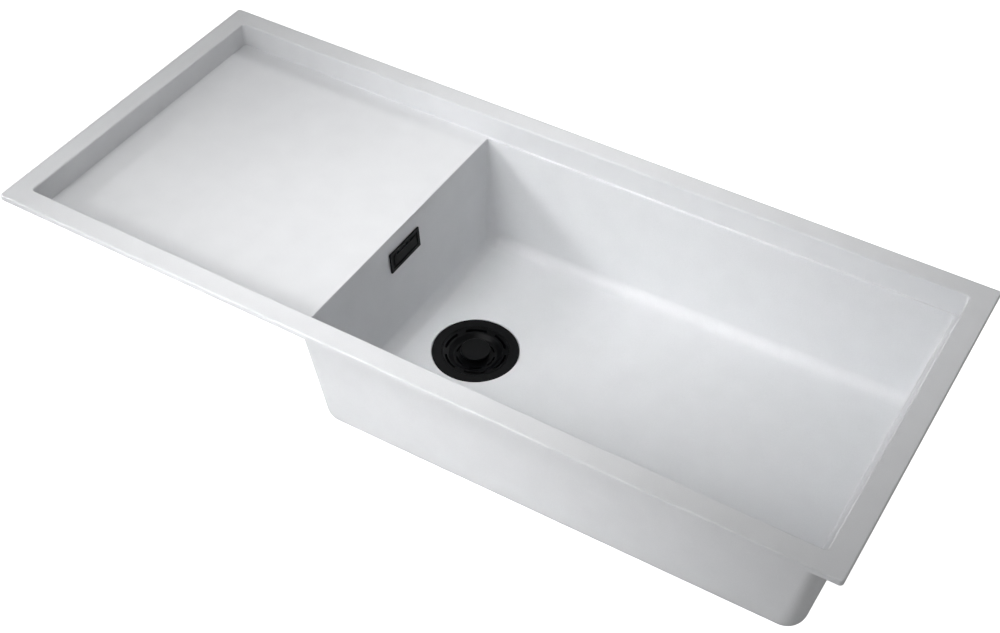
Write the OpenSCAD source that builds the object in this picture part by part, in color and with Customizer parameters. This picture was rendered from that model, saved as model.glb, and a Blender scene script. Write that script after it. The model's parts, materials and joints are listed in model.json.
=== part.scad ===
// Kitchen sink with drainboard: a composite shell that drops into a worktop, with its
// basket waste, its overflow and the ribbed hose between them.
// The origin is at the centre of the rim, on the worktop. The drainer is at -X, the front at -Y.

/* [Rim] */
// Length of the rim, end to end
rim_length = 1160; // [1100:5:1300]
// Width of the rim, front to back
rim_width = 503; // [460:1:560]
// Thickness of the rim above the worktop
rim_thickness = 8; // [5:0.5:12]
// Width of the rim, from its outer edge to the wall of the recess
rim_border = 30; // [22:0.5:40]
// Corner radius of the rim's outer edge
rim_corner_radius = 5; // [2:0.5:12]
// Slope cut along the rim's upper outer edge
rim_edge_bevel = 0.8; // [0.3:0.1:2]

/* [Recess] */
// Depth of the recess, from the top of the rim to the drainer and the ledges
recess_depth = 35; // [24:0.5:45]
// Corner radius of the recess
recess_corner_radius = 5; // [2:0.5:12]
// Length of the drainer, from the end wall of the recess to the bowl
drainer_length = 423; // [380:1:460]
// Width of the ledge behind the bowl
back_ledge = 3.5; // [3:0.5:20]
// Width of the ledge in front of the bowl
front_ledge = 14; // [8:0.5:24]
// Width of the ledge at the far end of the bowl
end_ledge = 11; // [8:0.5:24]
// Thickness of the moulded shell
shell_thickness = 8.5; // [7:0.5:11]
// Thickness of the bowl's wall at the far end
end_wall_thickness = 11.5; // [7:0.5:14]
// Radius of the lower outer edges below the drainer
tray_edge_radius = 18; // [8:0.5:20]

/* [Bowl] */
// Depth of the bowl at the drainer end, from the top of the rim
bowl_depth = 204.5; // [180:0.5:230]
// Rise of the bowl's floor towards its far end
floor_rise = 12; // [4:0.5:20]
// Lean of each bowl wall over its height
wall_lean = 12; // [7:0.5:14]
// Radius of the cove between the floor and the walls
cove_radius = 18; // [12:0.5:24]
// Corner radius of the bowl's mouth next to the drainer
near_corner_radius = 1.5; // [1:0.5:8]
// Corner radius of the bowl's mouth at its far end
far_corner_radius = 6; // [2:0.5:12]

/* [Waste opening] */
// Distance of the waste's centre from the drainer's edge
waste_inset = 113.5; // [100:0.5:160]
// Distance of the waste's centre line from the back edge of the bowl
waste_line = 216.5; // [200:0.5:225]
// Radius of the hole in the bowl's floor
waste_hole_radius = 45; // [43:0.5:47]
// Radius of the flat seat cut round the hole
waste_seat_radius = 59.8; // [59.5:0.1:64]
// Depth of the seat below the floor, where the floor is lowest
waste_seat_depth = 2.5; // [1:0.5:4]
// Thickness of the floor between the seat and the flat underside
waste_land_thickness = 10; // [8:0.5:14]

/* [Waste flange] */
// Radius of the flange
flange_radius = 58.8; // [56:0.1:59]
// Thickness of the flange at its edge
flange_edge = 2; // [1.5:0.1:4]
// Thickness of the gasket below the flange
flange_gasket_thickness = 1; // [0.5:0.1:2]
// Radial gap between the cup and the hole in the floor
cup_clearance = 0.6; // [0.3:0.1:1.5]
// Wall of the cup
cup_wall = 1.6; // [1.2:0.1:3]
// Depth of the cup, from the flange's edge to its floor
cup_depth = 38; // [32:1:50]
// Thickness of the cup's floor
cup_floor = 3; // [2:0.5:5]
// Radius of the opening in the cup's floor
cup_opening_radius = 24; // [22:0.5:26]
// Number of spokes that carry the hub
spoke_count = 4; // [3:1:6]

/* [Strainer basket] */
// Radius of the dish at its rim
dish_radius = 45.2; // [44:0.1:46]
// Depth of the dish below the flange's edge
dish_depth = 8.5; // [6:0.5:12]
// Thickness of the dish
dish_thickness = 1.2; // [1:0.1:1.6]
// Number of slots in each ring
slot_count = 6; // [4:1:8]
// Radius of the outer ring of slots
outer_slot_radius = 40.2; // [39:0.1:41]
// Width of an outer slot
outer_slot_width = 3.4; // [2:0.1:4]
// Radius of the inner ring of slots
inner_slot_radius = 25.5; // [24:0.5:27]
// Width of an inner slot
inner_slot_width = 2.6; // [2:0.1:3.5]
// Radius of the knob
knob_radius = 20.2; // [16:0.1:21]
// Thickness of the knob's head
knob_head = 5; // [4:0.5:7]
// Height of the knob above the flange's edge
knob_rise = 2.7; // [1:0.1:8]
// Radius of the rubber seal
seal_radius = 28; // [27:0.5:32]

/* [Waste body] */
// Radius of the body's flange
body_flange_radius = 58; // [56:0.5:62]
// Inner radius of the body
body_inner_radius = 48; // [47:0.5:50]
// Wall of the body
body_wall = 3; // [2.5:0.5:4]
// Inner depth of the body below its flange's face
body_depth = 35; // [33:1:50]
// Thickness of the gasket above the body
body_gasket_thickness = 2; // [1:0.5:4]
// Outer radius of the outlet's spigot
outlet_radius = 23.9; // [23:0.1:24.5]
// Wall of the outlet's spigot
outlet_wall = 3.4; // [2.5:0.1:4]
// Length of the outlet's spigot
outlet_length = 42; // [30:1:60]

/* [Overflow] */
// Depth of the overflow's centre below the top of the rim
overflow_drop = 74; // [68:0.5:100]
// Length of the frame
frame_length = 67; // [65:0.5:80]
// Height of the frame
frame_height = 30.5; // [28:0.5:40]
// How far the frame stands off its gasket
frame_depth = 2.2; // [2:0.1:3]
// Length of the plate in the frame
plate_length = 50.5; // [48:0.5:54]
// Height of the plate
plate_height = 15; // [11:0.5:16]
// Thickness of the plate
plate_thickness = 1; // [0.8:0.1:1.1]
// Distance between the two screws
screw_spacing = 30; // [28:1:32]

/* [Overflow hose] */
// Radius of the hose over its ribs
hose_radius = 11.5; // [11:0.1:11.6]
// Height of a rib
rib_height = 1.5; // [0.8:0.1:2]
// Distance from rib to rib
rib_pitch = 4; // [3:0.5:6]
// Wall of the hose below its ribs
hose_wall = 1.4; // [1:0.1:2]
// Radius of the bend, on the hose's centre line
hose_bend_radius = 38; // [30:1:40]
// Wall of the coupling nuts
nut_wall = 4; // [3:0.5:6]

/* [Hidden] */
$fn = 96;
// Facets round the blended shapes of the shell
blend_facets = 32;
// How far a cut runs past the face that it opens
overrun = 2;
// Gap between a moving piece and the seat that it rests on
rest_gap = 0.3;
// Radial gap of a fit that slides or turns
slide_gap = 0.05;

// Recess, ledges and the bowl's mouth
rim_top_z = rim_thickness;
ledge_z = rim_top_z - recess_depth;
recess_half_length = rim_length / 2 - rim_border;
recess_half_width = rim_width / 2 - rim_border;
mouth_left = drainer_length - recess_half_length;
mouth_right = recess_half_length - end_ledge;
mouth_back = recess_half_width - back_ledge;
mouth_front = front_ledge - recess_half_width;

// Centres of the cove at the floor's corners, low at the drainer end
cove_left = mouth_left + wall_lean + cove_radius;
cove_right = mouth_right - wall_lean - cove_radius;
cove_back = mouth_back - wall_lean - cove_radius;
cove_front = mouth_front + wall_lean + cove_radius;
cove_low_z = rim_top_z - bowl_depth + cove_radius;
cove_high_z = cove_low_z + floor_rise;
floor_slope = atan(floor_rise / (cove_right - cove_left));

// Angle of the wall below the drainer, which touches the mouth's edge and the cove
wall_drop = ledge_z - cove_low_z;
wall_reach = wall_lean + cove_radius;
wall_angle = atan(wall_reach / wall_drop) - asin(cove_radius / norm([wall_reach, wall_drop]));

// Height of the bowl's floor at a place along the sink
function floor_z(x) = cove_low_z + (x - cove_left) * tan(floor_slope) - cove_radius / cos(floor_slope);
// Place of the wall below the drainer at a height
function wall_x(z) = mouth_left + (ledge_z - z) * tan(wall_angle);

// Waste: heights of its seat, flange, cup and body, from the floor down
waste_x = mouth_left + waste_inset;
waste_y = mouth_back - waste_line;
seat_z = floor_z(waste_x - waste_seat_radius) - waste_seat_depth;
land_z = seat_z - waste_land_thickness;
flange_z = seat_z + flange_gasket_thickness + flange_edge;
cup_outer_radius = waste_hole_radius - cup_clearance;
cup_inner_radius = cup_outer_radius - cup_wall;
cup_floor_z = flange_z - cup_depth;
// Mouth in which the basket's rim lies, and the funnel round it
basket_gap = 0.5;
mouth_radius = dish_radius + basket_gap;
dish_rim_drop = 0.8;
basket_seat_drop = dish_rim_drop + dish_thickness + rest_gap;
funnel_margin = 3.3;
funnel_radius = mouth_radius + funnel_margin;
funnel_drop = 3.5;
flange_bevel = 1.2;
// Hub in the cup's floor and the screw through it
hub_radius = 12;
hub_length = 10;
spoke_width = 4;
screw_head_radius = 9;
screw_head_height = 5;
screw_head_sink = 0.2;
screw_radius = 6;
screw_shank = 27;
screw_clearance = 0.3;
screw_bore_radius = 4;
screw_bore_depth = 14;
screw_top_z = cup_floor_z - screw_head_sink;
hub_recess_radius = screw_head_radius + 2 * screw_clearance;
hub_bottom_z = cup_floor_z - hub_length;

// Gaskets are a little narrower than what they seal
gasket_inset = 1.5;
gasket_margin = 0.5;

// Waste body
body_top_z = land_z - body_gasket_thickness;
body_flange_thickness = 4;
body_floor_z = body_top_z - body_depth;
body_outer_radius = body_inner_radius + body_wall;
outlet_bore_radius = outlet_radius - outlet_wall;
outlet_end_z = body_floor_z - body_wall - outlet_length;
boss_radius = 13;
boss_gap = 1;
boss_height = 16;
boss_bottom_z = hub_bottom_z - boss_gap - boss_height;
boss_rib_count = 3;
boss_rib_width = 4;
insert_across_flats = 18;
insert_height = 8;
insert_clearance = 0.2;
insert_radius = insert_across_flats / 2 / cos(30);
insert_top_z = boss_bottom_z + insert_height;

// Overflow inlet of the waste body and the spigots of both couplings
spigot_radius = 12.5;
spigot_bore_radius = 9;
inlet_depth = 19.5;
inlet_z = body_top_z - inlet_depth;
inlet_reach = 74;
inlet_x = waste_x - inlet_reach;

// Strainer basket
dish_slope_radius = 36;
dish_slope_drop = 3.4;
rim_pitch = (dish_slope_drop - dish_rim_drop) / (dish_radius - dish_slope_radius);
dish_floor_radius = 30;
slot_span = 38;
inner_slot_span = 36;
knob_edge_radius = 1.6;
knob_neck_radius = 11;
knob_socket_depth = 6;
stem_radius = 4.5;
stem_hole_gap = 0.15;
stem_shoulder_radius = 7;
stem_collar_radius = 5.5;
groove_radius = 3.6;
sleeve_wall = 1.2;
sleeve_length = 9;
sleeve_top_drop = 1;
sleeve_radius = screw_bore_radius - slide_gap;
sleeve_bore_radius = sleeve_radius - sleeve_wall;
pin_radius = sleeve_bore_radius - slide_gap;
pin_head_height = 1.5;
pin_head_step = 0.7;
pin_head_radius = pin_radius + pin_head_step;
pin_end_gap = 0.2;
knob_top_z = flange_z + knob_rise;
dish_floor_z = flange_z - dish_depth;
seal_wall = 2.2;
seal_hub_radius = 9;
seal_hub_height = 3;
seal_hub_lift = 3.8;
seal_rest_z = cup_floor_z + rest_gap;
seal_hub_z = seal_rest_z + seal_hub_lift;
washer_radius = 14;
washer_thickness = 1.5;
washer_z = seal_hub_z + seal_hub_height;
shoulder_z = washer_z + washer_thickness;
sleeve_top_z = screw_top_z - sleeve_top_drop;
sleeve_end_z = sleeve_top_z - sleeve_length;

// Overflow, drawn with the wall's inner face at x = 0 and its outer face behind
overflow_z = rim_top_z - overflow_drop;
slot_half = 16.5;
wall_slot_radius = 10;
throat_gap = 0.4;
throat_wall = 1.2;
throat_inset = 1;
throat_radius = wall_slot_radius - throat_gap;
throat_bore_radius = throat_radius - throat_wall;
front_gasket_thickness = 0.8;
rear_gasket_thickness = 2;
// Gap that each gasket leaves at the wall
bed_gap = 0.05;
frame_corner_radius = 0.4;
frame_base = 0.8;
frame_border = 5;
pocket_length = frame_length - 2 * frame_border;
pocket_height = frame_height - 2 * frame_border;
web_thickness = 1.5;
web_front = -1.5;
window_half = 5;
window_radius = 5;
plate_setback = 0.2;
plate_corner_radius = 0.4;
peg_radius = 1.6;
peg_spacing = 42;
small_screw_radius = 2;
small_screw_head_radius = 3.6;
small_screw_head = 2;
small_screw_length = 20;
post_radius = 4;
post_gap = 0.2;
elbow_flange = 3;
elbow_margin = 4;
elbow_length = 60;
elbow_height = 27;
elbow_depth = 31;
elbow_wall = 2.5;
elbow_corner_radius = 3;
elbow_spigot_drop = 40;
gasket_slot_margin = 1;
rear_face = -shell_thickness - 2 * bed_gap - rear_gasket_thickness;
elbow_flange_length = frame_length + 2 * elbow_margin;
elbow_flange_height = frame_height + 2 * elbow_margin;

// Hose: straight down, one bend, then level to the waste body
hose_washer_thickness = 2;
hose_collar_radius = 12.2;
hose_collar_height = 1.6;
hose_sides = 8;
hose_bore_radius = hose_radius - rib_height - hose_wall;
hose_x = wall_x(overflow_z) + rear_face * cos(wall_angle) - elbow_flange - elbow_depth / 2;
hose_top_z = overflow_z - elbow_spigot_drop - hose_washer_thickness;
hose_end_x = inlet_x - hose_washer_thickness;
hose_drop_length = hose_top_z - inlet_z - hose_bend_radius;
hose_arc_length = hose_bend_radius * PI / 2;
hose_level_length = hose_end_x - hose_x - hose_bend_radius;
hose_length = hose_drop_length + hose_arc_length + hose_level_length;
nut_grip = 14;
nut_cover = 10;
nut_lip_gap = 0.3;
nut_gap = 0.1;
nut_bore_radius = spigot_radius + nut_gap;
nut_lip_radius = hose_radius + nut_lip_gap;
nut_radius = nut_bore_radius + nut_wall;
nut_rib_count = 12;
nut_rib_radius = 1.2;

// A block with rounded upright corners, centred on the origin and standing on z = 0
module rounded_block(length, width, height, radius) {
    for (side = [[length, width - 2 * radius], [length - 2 * radius, width]])
        translate([-side[0] / 2, -side[1] / 2, 0])
            cube([side[0], side[1], height]);
    for (x = [-1, 1], y = [-1, 1])
        translate([x * (length / 2 - radius), y * (width / 2 - radius), 0])
            cylinder(r = radius, h = height);
}

// A bar with round ends along Y, from x = 0 towards +X
module round_ended_bar(half, radius, depth) {
    rotate([0, 90, 0]) {
        for (y = [-half, half])
            translate([0, y, 0])
                cylinder(r = radius, h = depth);
        translate([-radius, -half, 0])
            cube([2 * radius, 2 * half, depth]);
    }
}

// An upright rectangle with rounded corners, from x = 0 towards +X
module upright_block(length, height, depth, radius) {
    rotate([0, 90, 0])
        rounded_block(height, length, depth, radius);
}

module ring(outer, inner, height) {
    difference() {
        cylinder(r = outer, h = height);
        translate([0, 0, -overrun])
            cylinder(r = inner, h = height + 2 * overrun);
    }
}

// The bowl's form, from its mouth to the coved floor, thickened by grow
module bowl_form(grow, far_shift) {
    corners = [[mouth_left, cove_left, near_corner_radius, 1, cove_low_z, 0],
               [mouth_right, cove_right, far_corner_radius, -1, cove_high_z, far_shift]];
    sides = [[mouth_front, cove_front, 1], [mouth_back, cove_back, -1]];
    hull()
        for (c = corners, s = sides) {
            translate([c[0] + c[3] * c[2] + c[5], s[0] + s[2] * c[2], ledge_z])
                cylinder(r = c[2] + grow, h = overrun, $fn = blend_facets);
            translate([c[1] + c[5], s[1], c[4]])
                sphere(r = cove_radius + grow, $fn = blend_facets);
        }
}

// The outside of the tray below the rim
module tray_form() {
    half_length = recess_half_length + shell_thickness;
    half_width = recess_half_width + shell_thickness;
    low = ledge_z - shell_thickness + tray_edge_radius;
    hull()
        for (x = [-1, 1], y = [-1, 1]) {
            place = [x * (half_length - tray_edge_radius), y * (half_width - tray_edge_radius), low];
            translate(place)
                sphere(r = tray_edge_radius, $fn = blend_facets);
            translate([place[0], place[1], rim_thickness / 2])
                cylinder(r = tray_edge_radius, h = rim_thickness / 4, $fn = blend_facets);
        }
}

// The rim's plate, with its upper outer edge bevelled
module rim_plate() {
    steps = [[0, rim_thickness - rim_edge_bevel], [rim_edge_bevel, rim_thickness]];
    for (s = steps)
        rounded_block(rim_length - 2 * s[0], rim_width - 2 * s[0], s[1], rim_corner_radius - s[0]);
}

module at_overflow() {
    translate([wall_x(overflow_z) + bed_gap, waste_y, overflow_z])
        rotate([0, -wall_angle, 0])
            children();
}

module at_waste(z) {
    translate([waste_x, waste_y, z])
        children();
}

module on_waste_line(x, z) {
    translate([x, waste_y, z])
        children();
}

module sink_body() {
    color("whitesmoke")
        difference() {
            union() {
                rim_plate();
                tray_form();
                bowl_form(shell_thickness, end_wall_thickness - shell_thickness);
                at_waste(land_z)
                    cylinder(r = waste_seat_radius, h = waste_land_thickness);
            }
            translate([0, 0, ledge_z])
                rounded_block(2 * recess_half_length, 2 * recess_half_width,
                              recess_depth + overrun, recess_corner_radius);
            bowl_form(0, 0);
            at_waste(seat_z)
                cylinder(r = waste_seat_radius, h = waste_land_thickness);
            at_waste(land_z - overrun)
                cylinder(r = waste_hole_radius, h = waste_land_thickness + 2 * overrun);
            at_waste(seat_z - funnel_drop)
                cylinder(r1 = waste_hole_radius, r2 = funnel_radius, h = funnel_drop);
            at_overflow()
                translate([-shell_thickness - overrun, 0, 0])
                    round_ended_bar(slot_half, wall_slot_radius, shell_thickness + 2 * overrun);
        }
}

module waste_flange() {
    bottom = -cup_depth - cup_floor;
    seat_low = basket_seat_drop + (mouth_radius - cup_inner_radius) * rim_pitch;
    color("#17181a")
        at_waste(flange_z)
            difference() {
                union() {
                    rotate_extrude()
                        polygon([[cup_outer_radius, -flange_edge - funnel_drop],
                                 [funnel_radius, -flange_edge],
                                 [flange_radius, -flange_edge],
                                 [flange_radius, -flange_bevel],
                                 [flange_radius - flange_bevel, 0],
                                 [mouth_radius, -dish_rim_drop],
                                 [mouth_radius, -basket_seat_drop],
                                 [cup_inner_radius, -seat_low],
                                 [cup_inner_radius, -cup_depth],
                                 [cup_opening_radius, -cup_depth],
                                 [cup_opening_radius, bottom],
                                 [cup_outer_radius, bottom]]);
                    translate([0, 0, -cup_depth - hub_length])
                        cylinder(r = hub_radius, h = hub_length);
                    for (i = [0 : spoke_count - 1])
                        rotate(i * 360 / spoke_count)
                            translate([hub_radius - spoke_width / 2, -spoke_width / 2, bottom])
                                cube([cup_opening_radius - hub_radius + spoke_width, spoke_width,
                                      cup_floor]);
                }
                translate([0, 0, -cup_depth - screw_head_sink - screw_head_height])
                    cylinder(r = hub_recess_radius, h = hub_length);
                translate([0, 0, -cup_depth - hub_length - overrun])
                    cylinder(r = screw_radius + screw_clearance, h = hub_length + overrun);
            }
}

module flange_gasket() {
    color("#2a2a2a")
        at_waste(seat_z)
            ring(flange_radius - gasket_inset, funnel_radius + gasket_margin,
                 flange_gasket_thickness);
}

module body_gasket() {
    color("#2a2a2a")
        at_waste(body_top_z)
            ring(body_flange_radius - gasket_inset, waste_hole_radius + gasket_inset,
                 body_gasket_thickness);
}

module waste_body() {
    color("#e4e5e2")
        difference() {
            union() {
                at_waste(body_top_z - body_flange_thickness)
                    cylinder(r = body_flange_radius, h = body_flange_thickness);
                at_waste(body_floor_z - body_wall)
                    cylinder(r = body_outer_radius, h = body_depth + body_wall);
                at_waste(outlet_end_z)
                    cylinder(r = outlet_radius, h = outlet_length + body_wall);
                on_waste_line(inlet_x, inlet_z)
                    rotate([0, 90, 0])
                        cylinder(r = spigot_radius, h = inlet_reach - body_inner_radius);
            }
            difference() {
                union() {
                    at_waste(body_floor_z)
                        cylinder(r = body_inner_radius, h = body_depth + overrun);
                    at_waste(outlet_end_z - overrun)
                        cylinder(r = outlet_bore_radius, h = outlet_length + body_wall + 2 * overrun);
                }
                at_waste(boss_bottom_z)
                    cylinder(r = boss_radius, h = boss_height);
                at_waste(boss_bottom_z)
                    for (i = [0 : boss_rib_count - 1])
                        rotate(i * 360 / boss_rib_count)
                            translate([0, -boss_rib_width / 2, 0])
                                cube([outlet_bore_radius + outlet_wall / 2, boss_rib_width,
                                      body_floor_z - boss_bottom_z]);
            }
            on_waste_line(inlet_x - overrun, inlet_z)
                rotate([0, 90, 0])
                    cylinder(r = spigot_bore_radius, h = inlet_reach - body_inner_radius + 2 * overrun);
            at_waste(boss_bottom_z - overrun)
                cylinder(r = screw_radius + screw_clearance, h = boss_height + 2 * overrun);
            at_waste(boss_bottom_z - overrun)
                rotate(30)
                    cylinder(r = insert_radius + insert_clearance, h = insert_height + overrun, $fn = 6);
        }
}

module waste_screw() {
    color("silver")
        at_waste(screw_top_z)
            difference() {
                union() {
                    translate([0, 0, -screw_head_height])
                        cylinder(r = screw_head_radius, h = screw_head_height);
                    translate([0, 0, -screw_head_height - screw_shank])
                        cylinder(r = screw_radius, h = screw_shank + screw_head_height);
                }
                translate([0, 0, -screw_bore_depth])
                    cylinder(r = screw_bore_radius, h = screw_bore_depth + overrun);
            }
}

module screw_insert() {
    color("goldenrod")
        at_waste(boss_bottom_z)
            difference() {
                rotate(30)
                    cylinder(r = insert_radius, h = insert_height, $fn = 6);
                translate([0, 0, -overrun])
                    cylinder(r = screw_radius + slide_gap, h = insert_height + 2 * overrun);
            }
}

// One slot that follows the basket's ring, with round ends
module ring_slot(radius, width, span) {
    depth = dish_depth + 2 * overrun;
    translate([0, 0, -depth]) {
        rotate([0, 0, -span / 2])
            rotate_extrude(angle = span)
                translate([radius - width / 2, 0])
                    square([width, 2 * depth]);
        for (end = [-span / 2, span / 2])
            rotate(end)
                translate([radius, 0, 0])
                    cylinder(r = width / 2, h = 2 * depth);
    }
}

module basket_dish() {
    line = [[dish_radius, -dish_rim_drop],
            [dish_slope_radius, -dish_slope_drop],
            [dish_floor_radius, -dish_depth],
            [0, -dish_depth]];
    back = [for (i = [len(line) - 1 : -1 : 0]) [line[i][0], line[i][1] - dish_thickness]];
    color("#17181a")
        at_waste(flange_z)
            difference() {
                rotate_extrude()
                    polygon(concat(line, back));
                for (i = [0 : slot_count - 1])
                    rotate(i * 360 / slot_count) {
                        ring_slot(outer_slot_radius, outer_slot_width, slot_span);
                        ring_slot(inner_slot_radius, inner_slot_width, inner_slot_span);
                    }
                translate([0, 0, -dish_depth - dish_thickness - overrun])
                    cylinder(r = stem_radius + stem_hole_gap, h = dish_thickness + 2 * overrun);
            }
}

module basket_knob() {
    neck = knob_top_z - knob_head - dish_floor_z;
    color("#1b1c1e")
        at_waste(dish_floor_z)
            difference() {
                rotate_extrude() {
                    square([knob_neck_radius, neck + knob_edge_radius]);
                    translate([0, neck]) {
                        square([knob_radius - knob_edge_radius, knob_head]);
                        translate([0, knob_edge_radius])
                            square([knob_radius, knob_head - 2 * knob_edge_radius]);
                        for (z = [knob_edge_radius, knob_head - knob_edge_radius])
                            translate([knob_radius - knob_edge_radius, z])
                                circle(r = knob_edge_radius);
                    }
                }
                translate([0, 0, -overrun])
                    cylinder(r = stem_radius, h = knob_socket_depth + overrun);
            }
}

module basket_stem() {
    top = dish_floor_z + knob_socket_depth;
    under_dish = dish_floor_z - dish_thickness;
    color("#26282b")
        at_waste(0)
            rotate_extrude()
                polygon([[0, top],
                         [stem_radius, top],
                         [stem_radius, under_dish],
                         [stem_shoulder_radius, under_dish],
                         [stem_shoulder_radius, shoulder_z],
                         [groove_radius, shoulder_z],
                         [groove_radius, seal_hub_z],
                         [stem_collar_radius, seal_hub_z],
                         [stem_collar_radius, seal_rest_z],
                         [pin_radius, seal_rest_z],
                         [pin_radius, sleeve_end_z - pin_end_gap],
                         [pin_head_radius, sleeve_end_z - pin_end_gap],
                         [pin_head_radius, sleeve_end_z - pin_end_gap - pin_head_height],
                         [0, sleeve_end_z - pin_end_gap - pin_head_height]]);
}

module basket_seal() {
    top = seal_hub_z + seal_hub_height;
    color("#3a3a3a")
        at_waste(0)
            rotate_extrude()
                polygon([[groove_radius, top],
                         [seal_hub_radius, top],
                         [seal_radius, seal_rest_z + seal_wall],
                         [seal_radius, seal_rest_z],
                         [seal_radius - seal_wall, seal_rest_z],
                         [seal_hub_radius, seal_hub_z],
                         [groove_radius, seal_hub_z]]);
}

module seal_washer() {
    color("#26282b")
        at_waste(washer_z)
            ring(washer_radius, groove_radius, washer_thickness);
}

module snap_sleeve() {
    color("#d9d9d4")
        at_waste(sleeve_end_z)
            ring(sleeve_radius, sleeve_bore_radius, sleeve_length);
}

module overflow_frame() {
    base = front_gasket_thickness;
    color("#17181a")
        at_overflow() {
            difference() {
                union() {
                    translate([base, 0, 0])
                        upright_block(frame_length, frame_height, frame_depth, frame_corner_radius);
                    translate([throat_inset - shell_thickness, 0, 0])
                        round_ended_bar(slot_half, throat_radius, shell_thickness - throat_inset + base);
                }
                translate([base + frame_base, 0, 0])
                    upright_block(pocket_length, pocket_height, frame_depth, frame_corner_radius);
                translate([throat_inset - shell_thickness - overrun, 0, 0])
                    round_ended_bar(slot_half, throat_bore_radius, shell_thickness + frame_depth + overrun);
            }
            difference() {
                translate([web_front - web_thickness, 0, 0])
                    round_ended_bar(slot_half, throat_radius - throat_wall / 2, web_thickness);
                translate([web_front - web_thickness - overrun, 0, 0]) {
                    round_ended_bar(window_half, window_radius, web_thickness + 2 * overrun);
                    for (h = [[screw_spacing, small_screw_radius], [peg_spacing, peg_radius]], y = [-h[0], h[0]])
                        translate([0, y / 2, 0])
                            rotate([0, 90, 0])
                                cylinder(r = h[1] + slide_gap, h = web_thickness + 2 * overrun);
                }
            }
        }
}

module overflow_plate() {
    front = front_gasket_thickness + frame_depth - plate_setback;
    peg_start = web_front - web_thickness;
    color("#1b1c1e")
        at_overflow() {
            translate([front - plate_thickness, 0, 0])
                upright_block(plate_length, plate_height, plate_thickness, plate_corner_radius);
            for (y = [-peg_spacing / 2, peg_spacing / 2])
                translate([peg_start, y, 0])
                    rotate([0, 90, 0])
                        cylinder(r = peg_radius, h = front - plate_thickness / 2 - peg_start);
        }
}

module overflow_screws() {
    color("silver")
        at_overflow()
            for (y = [-screw_spacing / 2, screw_spacing / 2])
                translate([web_front, y, 0])
                    rotate([0, 90, 0]) {
                        cylinder(r = small_screw_head_radius, h = small_screw_head);
                        translate([0, 0, -small_screw_length])
                            cylinder(r = small_screw_radius, h = small_screw_length + small_screw_head / 2);
                    }
}

// A flat seal with the wall's slot through it
module slot_gasket(length, height, thickness) {
    difference() {
        upright_block(length, height, thickness, frame_corner_radius);
        translate([-overrun, 0, 0])
            round_ended_bar(slot_half, wall_slot_radius + gasket_slot_margin, thickness + 2 * overrun);
    }
}

module overflow_front_gasket() {
    color("#2a2a2a")
        at_overflow()
            slot_gasket(frame_length - 2 * gasket_inset, frame_height - 2 * gasket_inset,
                        front_gasket_thickness);
}

module overflow_rear_gasket() {
    color("#2a2a2a")
        at_overflow()
            translate([rear_face, 0, 0])
                slot_gasket(elbow_flange_length - 2 * gasket_inset,
                            elbow_flange_height - 2 * gasket_inset, rear_gasket_thickness);
}

module overflow_elbow() {
    back = rear_face - elbow_flange - elbow_depth;
    post_front = web_front - web_thickness - post_gap;
    color("#e4e5e2")
        difference() {
            union() {
                difference() {
                    union() {
                        at_overflow() {
                            translate([rear_face - elbow_flange, 0, 0])
                                upright_block(elbow_flange_length, elbow_flange_height, elbow_flange,
                                              frame_corner_radius);
                            translate([back, 0, 0])
                                upright_block(elbow_length, elbow_height, elbow_depth + elbow_flange / 2,
                                              elbow_corner_radius);
                        }
                        at_hose_top()
                            cylinder(r = spigot_radius, h = elbow_spigot_drop);
                    }
                    at_overflow() {
                        translate([back + elbow_wall, 0, 0])
                            upright_block(elbow_length - 2 * elbow_wall, elbow_height - 2 * elbow_wall,
                                          elbow_depth - elbow_wall, elbow_corner_radius / 2);
                        translate([back + elbow_depth - elbow_wall, 0, 0])
                            round_ended_bar(slot_half, wall_slot_radius, elbow_depth);
                    }
                    at_hose_top()
                        translate([0, 0, -overrun])
                            cylinder(r = spigot_bore_radius, h = elbow_spigot_drop + overrun);
                }
                at_overflow()
                    for (y = [-screw_spacing / 2, screw_spacing / 2])
                        translate([back + elbow_wall / 2, y, 0])
                            rotate([0, 90, 0])
                                cylinder(r = post_radius, h = post_front - back - elbow_wall / 2);
            }
            at_overflow()
                for (y = [-screw_spacing / 2, screw_spacing / 2])
                    translate([web_front - small_screw_length - overrun, y, 0])
                        rotate([0, 90, 0])
                            cylinder(r = small_screw_radius + slide_gap, h = small_screw_length + overrun);
        }
}

// Place and heading along the hose, measured from its top end, in its own plane
function hose_place(s) =
    s < hose_drop_length ? [hose_x, hose_top_z - s] :
    s < hose_drop_length + hose_arc_length ?
        let (a = (s - hose_drop_length) / hose_bend_radius * 180 / PI)
        [hose_x + hose_bend_radius * (1 - cos(a)), inlet_z + hose_bend_radius * (1 - sin(a))] :
    [hose_end_x - (hose_length - s), inlet_z];
function hose_heading(s) =
    min(max((s - hose_drop_length) / hose_arc_length, 0), 1) * 90;
function hose_ring(s, r) =
    let (p = hose_place(s), a = hose_heading(s))
    [for (i = [0 : hose_sides - 1])
        let (t = i * 360 / hose_sides)
        [p[0] + r * cos(t) * cos(a), r * sin(t), p[1] + r * cos(t) * sin(a)]];
// Triangles between ring a and ring b of a tube's skin
function skin(a, b) =
    [for (i = [0 : hose_sides - 1])
        let (j = (i + 1) % hose_sides)
        for (f = [[a + i, a + j, b + j], [a + i, b + j, b + i]])
            f];
function turned(faces) = [for (f = faces) [f[2], f[1], f[0]]];

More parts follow.
